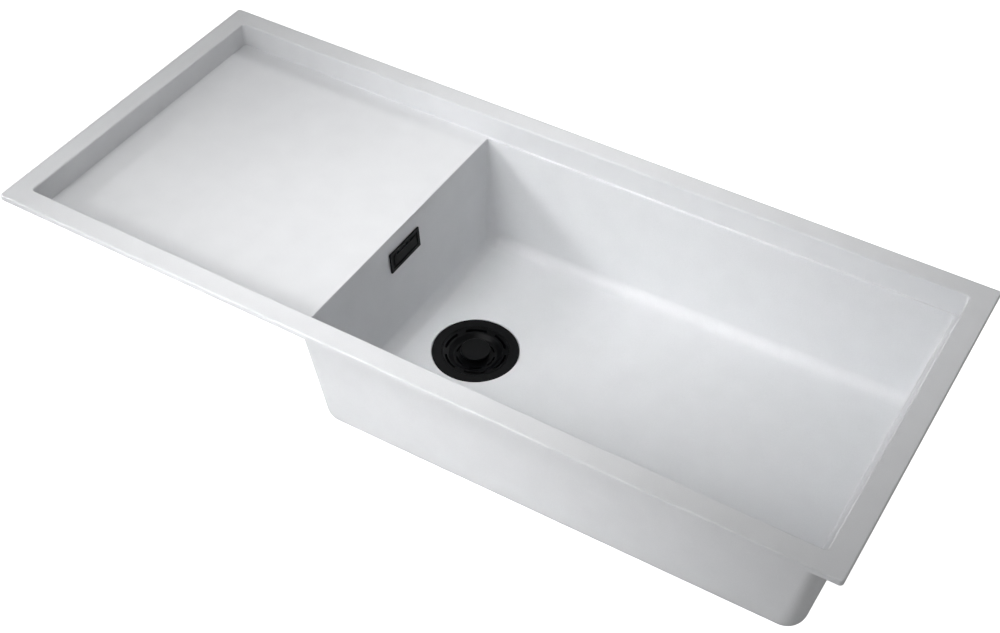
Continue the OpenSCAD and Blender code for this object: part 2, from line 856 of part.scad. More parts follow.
module overflow_hose() {
    ribbed_length = hose_length - 2 * hose_collar_height;
    rib_count = floor(ribbed_length / rib_pitch);
    step = ribbed_length / rib_count;
    valley = hose_radius - rib_height;
    collars = [[0, hose_collar_radius], [hose_collar_height / 2, hose_collar_radius]];
    ribs = [for (i = [0 : rib_count - 1])
                for (r = [[0, valley], [1 / 2, hose_radius]])
                    [hose_collar_height + (i + r[0]) * step, r[1]]];
    far_collars = [[hose_length - hose_collar_height, valley],
                   [hose_length - hose_collar_height / 2, hose_collar_radius],
                   [hose_length, hose_collar_radius]];
    outer = concat(collars, ribs, far_collars);
    bore_steps = ceil(hose_length / hose_bore_radius);
    inner = [for (i = [0 : bore_steps]) [hose_length * i / bore_steps, hose_bore_radius]];
    rings = concat(outer, inner);
    points = [for (g = rings) each hose_ring(g[0], g[1])];
    n = len(outer);
    m = len(inner);
    faces = concat(
        [for (k = [0 : n - 2]) each skin(k * hose_sides, (k + 1) * hose_sides)],
        [for (k = [n : n + m - 2]) each turned(skin(k * hose_sides, (k + 1) * hose_sides))],
        turned(skin(0, n * hose_sides)),
        skin((n - 1) * hose_sides, (n + m - 1) * hose_sides));
    echo(hose_length = hose_length, rib_count = rib_count,
         least_rib_gap_in_bend = step * (1 - hose_radius / hose_bend_radius));
    color("#8d9094")
        on_waste_line(0, 0)
            polyhedron(points = points, faces = faces, convexity = 6);
}

// A coupling nut round a joint: the spigot above z = 0, the washer and hose below
module coupling_nut() {
    step = hose_washer_thickness + hose_collar_height + nut_gap;
    difference() {
        union() {
            translate([0, 0, -nut_cover])
                cylinder(r = nut_radius, h = nut_cover + nut_grip);
            for (i = [0 : nut_rib_count - 1])
                rotate(i * 360 / nut_rib_count)
                    translate([nut_radius, 0, -nut_cover])
                        cylinder(r = nut_rib_radius, h = nut_cover + nut_grip);
        }
        translate([0, 0, -step])
            cylinder(r = nut_bore_radius, h = nut_grip + step + overrun);
        translate([0, 0, -nut_cover - overrun])
            cylinder(r = nut_lip_radius, h = nut_cover + overrun);
    }
}

module at_hose_top() {
    on_waste_line(hose_x, overflow_z - elbow_spigot_drop)
        children();
}

module at_hose_bottom() {
    on_waste_line(inlet_x, inlet_z)
        rotate([0, 90, 0])
            children();
}

module hose_top_nut() {
    color("#d9dad6")
        at_hose_top()
            coupling_nut();
}

module hose_bottom_nut() {
    color("#d9dad6")
        at_hose_bottom()
            coupling_nut();
}

module hose_washer() {
    color("#2a2a2a")
        translate([0, 0, -hose_washer_thickness])
            ring(spigot_radius - nut_gap, hose_bore_radius, hose_washer_thickness);
}

module hose_top_washer() {
    at_hose_top()
        hose_washer();
}

module hose_bottom_washer() {
    at_hose_bottom()
        hose_washer();
}

sink_body();
waste_flange();
flange_gasket();
body_gasket();
waste_body();
waste_screw();
screw_insert();
basket_dish();
basket_knob();
basket_stem();
basket_seal();
seal_washer();
snap_sleeve();
overflow_frame();
overflow_plate();
overflow_screws();
overflow_front_gasket();
overflow_rear_gasket();
overflow_elbow();
overflow_hose();
hose_top_nut();
hose_bottom_nut();
hose_top_washer();
hose_bottom_washer();
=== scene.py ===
"""Looks of the kitchen sink with drainboard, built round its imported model.

Every piece is a mesh in metres in the model's own frame: the origin at the centre of the rim, on
the worktop, +X from the drainer to the bowl, +Y to the back and +Z up. Sizes are in millimetres.
"""

import json
import logging
import math
from dataclasses import dataclass, field
from enum import Enum
from typing import Callable, Optional, Sequence

import bmesh
import bpy
from mathutils import Matrix, Vector
from mathutils.geometry import tessellate_polygon


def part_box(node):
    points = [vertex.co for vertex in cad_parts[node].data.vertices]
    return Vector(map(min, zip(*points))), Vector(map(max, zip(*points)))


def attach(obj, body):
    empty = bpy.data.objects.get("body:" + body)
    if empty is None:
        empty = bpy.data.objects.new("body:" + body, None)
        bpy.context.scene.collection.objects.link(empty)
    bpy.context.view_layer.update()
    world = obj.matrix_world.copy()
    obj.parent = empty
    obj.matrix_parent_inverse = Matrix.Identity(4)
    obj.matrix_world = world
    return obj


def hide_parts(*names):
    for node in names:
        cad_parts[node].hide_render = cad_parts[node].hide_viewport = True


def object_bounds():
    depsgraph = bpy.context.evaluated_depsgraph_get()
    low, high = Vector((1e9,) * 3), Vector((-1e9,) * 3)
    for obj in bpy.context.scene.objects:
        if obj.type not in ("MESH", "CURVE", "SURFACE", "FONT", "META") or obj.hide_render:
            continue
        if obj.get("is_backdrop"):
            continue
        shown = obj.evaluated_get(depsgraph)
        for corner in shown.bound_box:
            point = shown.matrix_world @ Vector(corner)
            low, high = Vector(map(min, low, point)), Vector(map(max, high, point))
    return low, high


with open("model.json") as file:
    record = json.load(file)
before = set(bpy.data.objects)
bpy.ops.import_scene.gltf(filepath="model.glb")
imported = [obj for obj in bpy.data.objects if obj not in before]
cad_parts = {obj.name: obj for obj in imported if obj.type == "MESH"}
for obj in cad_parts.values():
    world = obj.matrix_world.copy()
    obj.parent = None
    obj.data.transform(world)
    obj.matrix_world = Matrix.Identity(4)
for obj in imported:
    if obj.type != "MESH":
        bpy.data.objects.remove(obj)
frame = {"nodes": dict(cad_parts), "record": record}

log = logging.getLogger("sink")

MM = 0.001
CORNER_COUNT = 4
RIGHT_ANGLE = math.pi / 2
FULL_TURN = 2 * math.pi
MERGE_DISTANCE = 1e-6
BOWL_FAR_CORNERS = (0, 3)

# Angles of edges: creases in smooth shading, creases on the hose, edges that are rounded, edges
# inside a flat face. The last is half the angle past which a profile's corner counts as straight.
SMOOTH_LIMIT = math.radians(28)
RIB_LIMIT = math.radians(60)
SOFTEN_LIMIT = math.radians(35)
FLAT_LIMIT = math.radians(0.5)
STRAIGHT_LIMIT = RIGHT_ANGLE * 0.99

# Mottling of a finish: shares of fine grain and broad cloud, and the band of their mix that shows
GRAIN_SHARE = 0.7
CLOUD_SHARE = 0.3
CLOUD_PER_GRAIN = 40
COLOUR_BAND = (0.38, 0.62)
ROUGHNESS_BAND = (0.3, 0.7)

# The wave texture turns through this many radians for each unit of its input
WAVE_RATE = 20

WHITE = (1.0, 1.0, 1.0, 1.0)

Ring = list[Vector]


class Cut(Enum):
    """How one solid changes another."""

    ADD = "UNION"
    REMOVE = "DIFFERENCE"


# Finishes


def linear(code: str) -> tuple[float, float, float, float]:
    """Turns an sRGB hex colour into linear values.

    Args:
        code: six hex digits after a hash.

    Returns:
        Red, green, blue and an alpha of 1.
    """
    def channel(text: str) -> float:
        """Returns one channel's linear value."""
        value = int(text, 16) / 255
        return value / 12.92 if value <= 0.04045 else ((value + 0.055) / 1.055) ** 2.4

    return (channel(code[1:3]), channel(code[3:5]), channel(code[5:7]), 1.0)


def add_node(tree: bpy.types.NodeTree, kind: str, settings: Optional[dict] = None,
             **inputs: object) -> bpy.types.Node:
    """Adds one node with its settings, values and links.

    Args:
        tree: the node tree that takes the node.
        kind: the node's type name.
        settings: attributes of the node, by name.
        inputs: values or sockets for its inputs. Names have _ for a space, or i and a number.

    Returns:
        The new node.
    """
    node = tree.nodes.new(kind)
    for name, value in (settings or {}).items():
        setattr(node, name, value)
    for name, value in inputs.items():
        place = int(name[1:]) if name[0] == "i" and name[1:].isdigit() else name.replace("_", " ")
        socket = node.inputs[place]
        if isinstance(value, bpy.types.NodeSocket):
            tree.links.new(value, socket)
        else:
            socket.default_value = value
    return node


@dataclass(frozen=True)
class Finish:
    """A plain moulded or cast surface: a colour with fine mottling and a fine bump."""

    name: str
    colour: str
    mottle: str
    roughness: float
    roughness_spread: float
    grain_mm: float
    bump_mm: float
    metallic: float = 0.0
    gloss: float = 0.5

    def shader(self, material: bpy.types.Material) -> bpy.types.Node:
        """Sets the fixed values of a material's main shader.

        Args:
            material: the material that holds it.

        Returns:
            The shader.
        """
        shader = material.node_tree.nodes["Principled BSDF"]
        shader.inputs["Metallic"].default_value = self.metallic
        shader.inputs["Specular IOR Level"].default_value = self.gloss
        return shader

    def build(self) -> bpy.types.Material:
        """Builds the material from noise on the object's own coordinates.

        Returns:
            The finished material.
        """
        material = bpy.data.materials.new(self.name)
        material.use_nodes = True
        material.diffuse_color = linear(self.colour)
        tree = material.node_tree
        shader = self.shader(material)
        place = add_node(tree, "ShaderNodeTexCoord")
        grain = add_node(tree, "ShaderNodeTexNoise", Vector=place.outputs["Object"],
                         Scale=1 / (self.grain_mm * MM), Detail=3.0, Roughness=0.6)
        cloud = add_node(tree, "ShaderNodeTexNoise", Vector=place.outputs["Object"],
                         Scale=1 / (CLOUD_PER_GRAIN * self.grain_mm * MM), Detail=2.0)
        blend = add_node(tree, "ShaderNodeMath", {"operation": "MULTIPLY_ADD"}, i0=grain.outputs[0],
                         i1=GRAIN_SHARE, i2=0.0)
        blend_both = add_node(tree, "ShaderNodeMath", {"operation": "MULTIPLY_ADD"},
                              i0=cloud.outputs[0], i1=CLOUD_SHARE, i2=blend.outputs[0])
        steps = add_node(tree, "ShaderNodeMapRange", i0=blend_both.outputs[0], i1=COLOUR_BAND[0],
                         i2=COLOUR_BAND[1], i3=0.0, i4=1.0)
        colours = add_node(tree, "ShaderNodeMix", {"data_type": "RGBA"}, Factor=steps.outputs[0],
                           i6=linear(self.mottle), i7=linear(self.colour))
        tree.links.new(colours.outputs["Result"], shader.inputs["Base Color"])
        rough = add_node(tree, "ShaderNodeMapRange", i0=blend_both.outputs[0], i1=ROUGHNESS_BAND[0],
                         i2=ROUGHNESS_BAND[1], i3=self.roughness - self.roughness_spread,
                         i4=self.roughness + self.roughness_spread)
        tree.links.new(rough.outputs[0], shader.inputs["Roughness"])
        bump = add_node(tree, "ShaderNodeBump", Height=grain.outputs[0],
                        Distance=self.bump_mm * MM, Strength=1.0)
        tree.links.new(bump.outputs[0], shader.inputs["Normal"])
        return material


@dataclass(frozen=True)
class TurnedMetal(Finish):
    """Bar turned in a lathe: fine rings round an upright axis break up the gloss.

    The rings lie FULL_TURN * ring_mm apart, coarser than a lathe's, so that they show.
    """

    axis_x: float = 0.0
    axis_y: float = 0.0
    ring_mm: float = 0.5

    def build(self) -> bpy.types.Material:
        """Adds the lathe's rings to the plain surface.

        Returns:
            The finished material.
        """
        material = Finish.build(self)
        tree = material.node_tree
        shader = tree.nodes["Principled BSDF"]
        place = add_node(tree, "ShaderNodeTexCoord")
        centred = add_node(tree, "ShaderNodeMapping", Vector=place.outputs["Object"],
                           Location=(-self.axis_x, -self.axis_y, 0.0))
        rings = add_node(tree, "ShaderNodeTexWave",
                         {"wave_type": "RINGS", "rings_direction": "Z"},
                         Vector=centred.outputs[0], Scale=1 / (WAVE_RATE * self.ring_mm * MM),
                         Distortion=0.4, Detail=2.0)
        bump = add_node(tree, "ShaderNodeBump", Height=rings.outputs["Fac"],
                        Distance=self.bump_mm * MM, Strength=1.0)
        tree.links.new(bump.outputs[0], shader.inputs["Normal"])
        return material


@dataclass
class Palette:
    """Every finish of the object, built once."""

    axis: tuple[float, float] = (0.0, 0.0)
    made: dict[str, bpy.types.Material] = field(default_factory=dict)

    def finishes(self) -> dict[str, Finish]:
        """Lists the finishes of the object.

        Returns:
            Each finish by the model's name of its slot.
        """
        x, y = self.axis
        return {
            # Cast quartz and acrylic, demoulded matt: an even white with faint mineral grains
            "composite": Finish("quartz acrylic composite, cast matt", "#DEDFE1", "#D8D9DB",
                                roughness=0.62, roughness_spread=0.05, grain_mm=0.9,
                                bump_mm=0.012, gloss=0.25),
            # ABS moulded in a fine-sparked tool: near black with a soft, even sheen
            "black_plastic": Finish("ABS, moulded satin black", "#07080A", "#050607",
                                    roughness=0.46, roughness_spread=0.05, grain_mm=0.6,
                                    bump_mm=0.01, gloss=0.1),
            # Polypropylene: waxy off-white with slow shade changes from the mould
            "white_plastic": Finish("polypropylene, moulded off-white", "#DEDFDB", "#D6D7D2",
                                    roughness=0.42, roughness_spread=0.06, grain_mm=1.2,
                                    bump_mm=0.01),
            # Polyethylene blown against a mould: grey, slightly uneven gloss
            "grey_plastic": Finish("polyethylene, blow-moulded grey", "#8B8D90", "#818387",
                                   roughness=0.48, roughness_spread=0.08, grain_mm=1.5,
                                   bump_mm=0.03),
            # EPDM pressed sheet: dull and dusty dark grey
            "grey_rubber": Finish("EPDM rubber, pressed", "#2B2B2C", "#242425",
                                  roughness=0.85, roughness_spread=0.05, grain_mm=0.7,
                                  bump_mm=0.03),
            # Stainless steel turned from bar: bright rings round the axis
            "steel": TurnedMetal("stainless steel, turned", "#B8B6B1", "#ABA9A5",
                                 roughness=0.3, roughness_spread=0.06, grain_mm=0.6,
                                 bump_mm=0.02, metallic=1.0, axis_x=x, axis_y=y),
            # Brass turned from bar: warm yellow, the same rings
            "brass": TurnedMetal("brass, turned", "#C9A24C", "#B8923F",
                                 roughness=0.32, roughness_spread=0.06, grain_mm=0.6,
                                 bump_mm=0.02, metallic=1.0, axis_x=x, axis_y=y),
        }

    def material(self, slot: str) -> bpy.types.Material:
        """Builds a slot's material the first time it is asked for.

        Args:
            slot: the model's name of the material slot.

        Returns:
            The material.
        """
        if slot not in self.made:
            self.made[slot] = self.finishes()[slot].build()
        return self.made[slot]


# Meshes


def add_object(name: str, data: bpy.types.ID) -> bpy.types.Object:
    """Adds an object to the scene.

    Args:
        name: the object's name.
        data: its mesh, curve, light or camera.

    Returns:
        The object, at the origin.
    """
    piece = bpy.data.objects.new(name, data)
    bpy.context.scene.collection.objects.link(piece)
    return piece


def shares(steps: int) -> list[float]:
    """Returns evenly spaced shares from 0 to 1."""
    return [step / steps for step in range(steps + 1)]


def arc(steps: int, sweep: float = RIGHT_ANGLE) -> list[float]:
    """Returns angles in radians, evenly spaced from zero to a sweep."""
    return [sweep * step / steps for step in range(steps + 1)]


class Draft:
    """The vertices and faces of one piece, gathered ring by ring in millimetres."""

    def __init__(self) -> None:
        """Starts an empty draft."""
        self.points: list[Vector] = []
        self.faces: list[tuple[int, ...]] = []

    def ring(self, points: Sequence[Vector]) -> list[int]:
        """Adds a ring of points.

        Args:
            points: the ring, in order.

        Returns:
            The numbers of the new vertices.
        """
        start = len(self.points)
        self.points.extend(points)
        return list(range(start, len(self.points)))

    def bridge(self, low: list[int], high: list[int]) -> None:
        """Joins two closed rings of the same length with a band of faces.

        Args:
            low: the first ring.
            high: the second ring.
        """
        count = len(low)
        for i in range(count):
            j = (i + 1) % count
            self.faces.append((low[i], low[j], high[j], high[i]))

    def stack(self, rings: Sequence[Sequence[Vector]]) -> list[list[int]]:
        """Adds rings and joins each with the next.

        Args:
            rings: the rings, in order.

        Returns:
            The numbers of the vertices, ring by ring.
        """
        numbers = [self.ring(points) for points in rings]
        for low, high in zip(numbers, numbers[1:]):
            self.bridge(low, high)
        return numbers

    def fill(self, *rings: list[int]) -> None:
        """Fills a flat region between an outer ring and its holes.

        Args:
            rings: the outer ring, then any holes.
        """
        numbers = [number for ring in rings for number in ring]
        outlines = [[self.points[number] for number in ring] for ring in rings]
        for triangle in tessellate_polygon(outlines):
            self.faces.append(tuple(numbers[corner] for corner in triangle))

    def build(self, name: str) -> bpy.types.Object:
        """Makes the draft an object with merged doubles and outward faces.

        Args:
            name: the object's name.

        Returns:
            The object, at the origin.
        """
        mesh = bpy.data.meshes.new(name)
        mesh.from_pydata([point * MM for point in self.points], [], self.faces)
        tidy(mesh)
        return add_object(name, mesh)

    def close(self, name: str, rings: Sequence[Sequence[Vector]]) -> bpy.types.Object:
        """Makes a stack of rings an object with a flat face at either end.

        Args:
            name: the object's name.
            rings: the rings, in order.

        Returns:
            The object, at the origin.
        """
        numbers = self.stack(rings)
        self.fill(numbers[0])
        self.fill(numbers[-1])
        return self.build(name)


def tidy(mesh: bpy.types.Mesh) -> None:
    """Merges doubles, drops empty faces and turns all faces outwards.

    Args:
        mesh: the mesh to change.
    """
    work = bmesh.new()
    work.from_mesh(mesh)
    bmesh.ops.remove_doubles(work, verts=work.verts, dist=MERGE_DISTANCE)
    bmesh.ops.dissolve_degenerate(work, dist=MERGE_DISTANCE, edges=work.edges)
    bmesh.ops.recalc_face_normals(work, faces=work.faces)
    work.to_mesh(mesh)
    work.free()


def settled_mesh(piece: bpy.types.Object) -> bpy.types.Mesh:
    """Makes a plain mesh of what a piece's modifiers give.

    Args:
        piece: the object, which stays as it is.

    Returns:
        The mesh.
    """
    bpy.context.view_layer.update()
    graph = bpy.context.evaluated_depsgraph_get()
    return bpy.data.meshes.new_from_object(piece.evaluated_get(graph), depsgraph=graph)


def bake_modifiers(piece: bpy.types.Object) -> None:
    """Replaces a piece's mesh with what its modifiers make of it.

    Args:
        piece: the object to change.
    """
    mesh = settled_mesh(piece)
    piece.modifiers.clear()
    piece.data = mesh


def combine(piece: bpy.types.Object, tool: bpy.types.Object, how: Cut) -> None:
    """Adds or removes a tool's volume, and deletes the tool.

    Args:
        piece: the object that keeps the result.
        tool: the object whose volume is used.
        how: whether it is added or removed.
    """
    step = piece.modifiers.new("combine", "BOOLEAN")
    step.operation = how.value
    step.solver = "EXACT"
    step.object = tool
    bake_modifiers(piece)
    bpy.data.objects.remove(tool)


def soften(piece: bpy.types.Object, width_mm: float, limit: float = SOFTEN_LIMIT,
           segments: int = 3) -> None:
    """Rounds the sharp edges of a piece.

    Args:
        piece: the object to change.
        width_mm: width of the rounding.
        limit: the least angle of an edge that is rounded, in radians.
        segments: faces across the rounding.
    """
    step = piece.modifiers.new("soften", "BEVEL")
    step.width = width_mm * MM
    step.segments = segments
    step.limit_method = "ANGLE"
    step.angle_limit = limit
    step.use_clamp_overlap = True
    bake_modifiers(piece)


def hold_in(piece: bpy.types.Object, low: Vector, high: Vector) -> None:
    """Moves vertices that a rounding threw outside a box back to its faces.

    Args:
        piece: the object to change.
        low: the box's lowest corner.
        high: the box's highest corner.
    """
    for vertex in piece.data.vertices:
        vertex.co = [min(max(value, least), most)
                     for value, least, most in zip(vertex.co, low, high)]


def smooth(piece: bpy.types.Object, limit: float = SMOOTH_LIMIT) -> None:
    """Shades a piece smooth, with creases past an angle and flats that stay flat.

    Args:
        piece: the object to change.
        limit: the angle of a crease, in radians.
    """
    piece.data.polygons.foreach_set("use_smooth", [True] * len(piece.data.polygons))
    piece.data.set_sharp_from_angle(angle=limit)
    step = piece.modifiers.new("weigh", "WEIGHTED_NORMAL")
    step.mode = "FACE_AREA"
    step.weight = 50
    step.keep_sharp = True
    bake_modifiers(piece)


def dress(piece: bpy.types.Object, palette: Palette, slot: str) -> None:
    """Gives a piece one material all over.

    Args:
        piece: the object to dress.
        palette: the object's finishes.
        slot: the model's name of the material slot.
    """
    piece.data.materials.clear()
    piece.data.materials.append(palette.material(slot))


def seat(piece: bpy.types.Object, body: str, *nodes: str) -> None:
    """Puts a finished piece in place of its model nodes.

    Args:
        piece: the finished object.
        body: the model's body that carries it.
        nodes: the model's nodes that it stands for.
    """
    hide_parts(*nodes)
    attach(piece, body)
    log.info("%s: %d faces, stands for %s", piece.name, len(piece.data.polygons),
             ", ".join(nodes))


@dataclass(frozen=True)
class Corner:
    """The centre and radius of one rounded corner of an outline, seen from above."""

    x: float
    y: float
    radius: float

    def point(self, reach: float, angle: float, z: float) -> Vector:
        """Finds a point round the corner's centre.

        Args:
            reach: how far from the centre it lies, seen from above.
            angle: its direction, in radians.
            z: its height.

        Returns:
            The point.
        """
        return Vector((self.x + reach * math.cos(angle), self.y + reach * math.sin(angle), z))


@dataclass(frozen=True)
class Outline:
    """A rectangle with four rounded corners, from the back right one anticlockwise."""

    left: float
    right: float
    front: float
    back: float
    radii: tuple[float, float, float, float]
    corner_steps: int = 8
    side_steps: int = 8

    def corners(self) -> list[Corner]:
        """Returns the four corners."""
        places = [(self.right, self.back, -1, -1), (self.left, self.back, 1, -1),
                  (self.left, self.front, 1, 1), (self.right, self.front, -1, 1)]
        return [Corner(x + sx * radius, y + sy * radius, radius)
                for (x, y, sx, sy), radius in zip(places, self.radii)]

    def trace(self, place: Callable[[int, float], Vector]) -> Ring:
        """Walks round the outline.

        Args:
            place: gives the point of a corner, by its number, at an angle.

        Returns:
            One closed ring, with straight sides between the corners.
        """
        bends = [[place(number, number * RIGHT_ANGLE + angle)
                  for angle in arc(self.corner_steps)] for number in range(CORNER_COUNT)]
        ring: Ring = []
        for number, bend in enumerate(bends):
            ring.extend(bend)
            start, end = bend[-1], bends[(number + 1) % CORNER_COUNT][0]
            ring.extend(start.lerp(end, step / self.side_steps)
                        for step in range(1, self.side_steps))
        return ring

    def level(self, z: float, grow: float = 0.0) -> Ring:
        """Draws the outline at one height, grown outwards.

        Args:
            z: the height.
            grow: how far the outline moves outwards.

        Returns:
            One closed ring.
        """
        corners = self.corners()

        def place(number: int, angle: float) -> Vector:
            """Returns the point of a corner at an angle."""
            return corners[number].point(corners[number].radius + grow, angle, z)

        return self.trace(place)


def circle(x: float, y: float, radius: float, height: Callable[[float, float], float],
           steps: int = 128) -> Ring:
    """Draws a ring round an upright axis.

    Args:
        x: the axis along the sink.
        y: the axis across the sink.
        radius: the ring's radius.
        height: gives the height at a place.
        steps: how many points the ring has.

    Returns:
        One closed ring.
    """
    angles = [FULL_TURN * i / steps for i in range(steps)]
    places = [(x + radius * math.cos(angle), y + radius * math.sin(angle)) for angle in angles]
    return [Vector((px, py, height(px, py))) for px, py in places]


def round_profile(corners: Sequence[tuple[float, float, float]],
                  steps: int) -> list[tuple[float, float]]:
    """Rounds the corners of a closed profile.

    Args:
        corners: each corner's radius, height and rounding, where zero keeps it sharp.
        steps: how many parts each rounding has.

    Returns:
        The rounded profile.
    """
    result: list[tuple[float, float]] = []
    points = [Vector(corner[:2]) for corner in corners]
    for i, (_, _, radius) in enumerate(corners):
        here = points[i]
        before = (points[i - 1] - here).normalized()
        after = (points[(i + 1) % len(points)] - here).normalized()
        half = before.angle(after) / 2
        if radius <= 0 or half >= STRAIGHT_LIMIT:
            result.append(tuple(here))
            continue
        centre = here + (before + after).normalized() * (radius / math.sin(half))
        start = here + before * (radius / math.tan(half)) - centre
        end = here + after * (radius / math.tan(half)) - centre
        for step in range(steps + 1):
            spoke = start.lerp(end, step / steps).normalized() * radius
            result.append(tuple(centre + spoke))
    return result


def revolve(name: str, profile: Sequence[tuple[float, float]], x: float, y: float, z: float,
            steps: int = 144) -> bpy.types.Object:
    """Turns a closed profile of radius and height round an upright axis.

    Args:
        name: the object's name.
        profile: the profile's points.
        x: the axis along the sink.
        y: the axis across the sink.
        z: the height that the profile counts from.
        steps: how many parts the turn has.

    Returns:
        The solid of revolution.
    """
    draft = Draft()
    rings = [circle(x, y, radius, lambda px, py, h=height: z + h, steps)
             for radius, height in profile]
    numbers = draft.stack(rings)
    draft.bridge(numbers[-1], numbers[0])
    return draft.build(name)


def start_tree(name: str, inputs: dict[str, str]) -> tuple[bpy.types.NodeTree, Sequence]:
    """Starts a node tree that takes a shape and named values, and gives a shape.

    Args:
        name: the tree's name.
        inputs: the kind of each value by its label: Float, Int or Vector.

    Returns:
        The tree, and the sockets of what it takes.
    """
    tree = bpy.data.node_groups.new(name, "GeometryNodeTree")
    for label, kind in {"Geometry": "Geometry", **inputs}.items():
        tree.interface.new_socket(label, in_out="INPUT", socket_type=f"NodeSocket{kind}")
    tree.interface.new_socket("Geometry", in_out="OUTPUT", socket_type="NodeSocketGeometry")
    return tree, add_node(tree, "NodeGroupInput").outputs


def end_tree(tree: bpy.types.NodeTree, shape: bpy.types.NodeSocket) -> None:
    """Ends a node tree: its copies are made real and get a material.

    Args:
        tree: the tree.
        shape: the socket with the shape that it gives.
    """
    real = add_node(tree, "GeometryNodeRealizeInstances", Geometry=shape)
    finish = add_node(tree, "GeometryNodeSetMaterial", Geometry=real.outputs[0])
    add_node(tree, "NodeGroupOutput", Geometry=finish.outputs[0])


def use_tree(piece: bpy.types.Object, tree: bpy.types.NodeTree, values: dict[str, object]) -> None:
    """Gives a piece a node tree as its modifier.

    Args:
        piece: the object to change.
        tree: the tree.
        values: the tree's values by their labels. They are set by the sockets' identifiers.
    """
    step = piece.modifiers.new("shape", "NODES")
    step.node_group = tree
    for item in tree.interface.items_tree:
        if item.in_out == "INPUT" and item.name in values:
            step[item.identifier] = values[item.name]


def ring_of_copies(name: str, solid: bpy.types.Object, count: int, start: float,
                   axis: Vector) -> bpy.types.Object:
    """Repeats a solid evenly round an upright axis with a node tree.

    Args:
        name: the new object's name.
        solid: the solid, drawn round the origin's axis. It becomes the first copy.
        count: how many copies are made.
        start: the angle of the first copy, in radians.
        axis: where the ring's centre goes, in millimetres.

    Returns:
        All the copies as one object.
    """
    tree, given = start_tree("ring of copies",
                             {"Count": "Int", "Start": "Float", "Centre": "Vector"})
    index = add_node(tree, "GeometryNodeInputIndex")
    part = add_node(tree, "ShaderNodeMath", {"operation": "DIVIDE"}, i0=index.outputs[0],
                    i1=given["Count"])
    angle = add_node(tree, "ShaderNodeMath", {"operation": "MULTIPLY_ADD"}, i0=part.outputs[0],
                     i1=FULL_TURN, i2=given["Start"])
    turn = add_node(tree, "ShaderNodeCombineXYZ", Z=angle.outputs[0])
    points = add_node(tree, "GeometryNodePoints", Count=given["Count"], Position=given["Centre"])
    copies = add_node(tree, "GeometryNodeInstanceOnPoints", Points=points.outputs[0],
                      Instance=given["Geometry"], Rotation=turn.outputs[0])
    end_tree(tree, copies.outputs[0])
    use_tree(solid, tree, {"Count": count, "Start": start, "Centre": tuple(axis * MM)})
    bake_modifiers(solid)
    solid.name = name
    tidy(solid.data)
    return solid


def curved_slot(radius: float, width: float, span: float, low: float, high: float,
                steps: int = 20, end_steps: int = 8) -> bpy.types.Object:
    """Draws one slot cutter that follows a circle round the origin and has round ends.

    Args:
        radius: the radius of the slot's centre line.
        width: the slot's width.
        span: the angle between the centres of its round ends, in radians.
        low: the cutter's lowest height.
        high: the cutter's greatest height.
        steps: how many parts each long side has.
        end_steps: how many parts each round end has.

    Returns:
        The cutter, centred on the +X axis.
    """
    half = width / 2
    outer, inner = radius + half, radius - half
    outline: list[tuple[float, float]] = []
    for i in range(steps + 1):
        angle = -span / 2 + span * i / steps
        outline.append((outer * math.cos(angle), outer * math.sin(angle)))
    for end, side in ((span / 2, 1), (-span / 2, -1)):
        centre = Vector((radius * math.cos(end), radius * math.sin(end)))
        turn = end if side > 0 else end + math.pi
        bend = [turn + math.pi * i / end_steps for i in range(1, end_steps)]
        outline.extend((centre.x + half * math.cos(a), centre.y + half * math.sin(a))
                       for a in bend)
        if side > 0:
            for i in range(steps + 1):
                angle = span / 2 - span * i / steps
                outline.append((inner * math.cos(angle), inner * math.sin(angle)))
    return Draft().close("slot", [[Vector((x, y, z)) for x, y in outline] for z in (low, high)])


# The shell


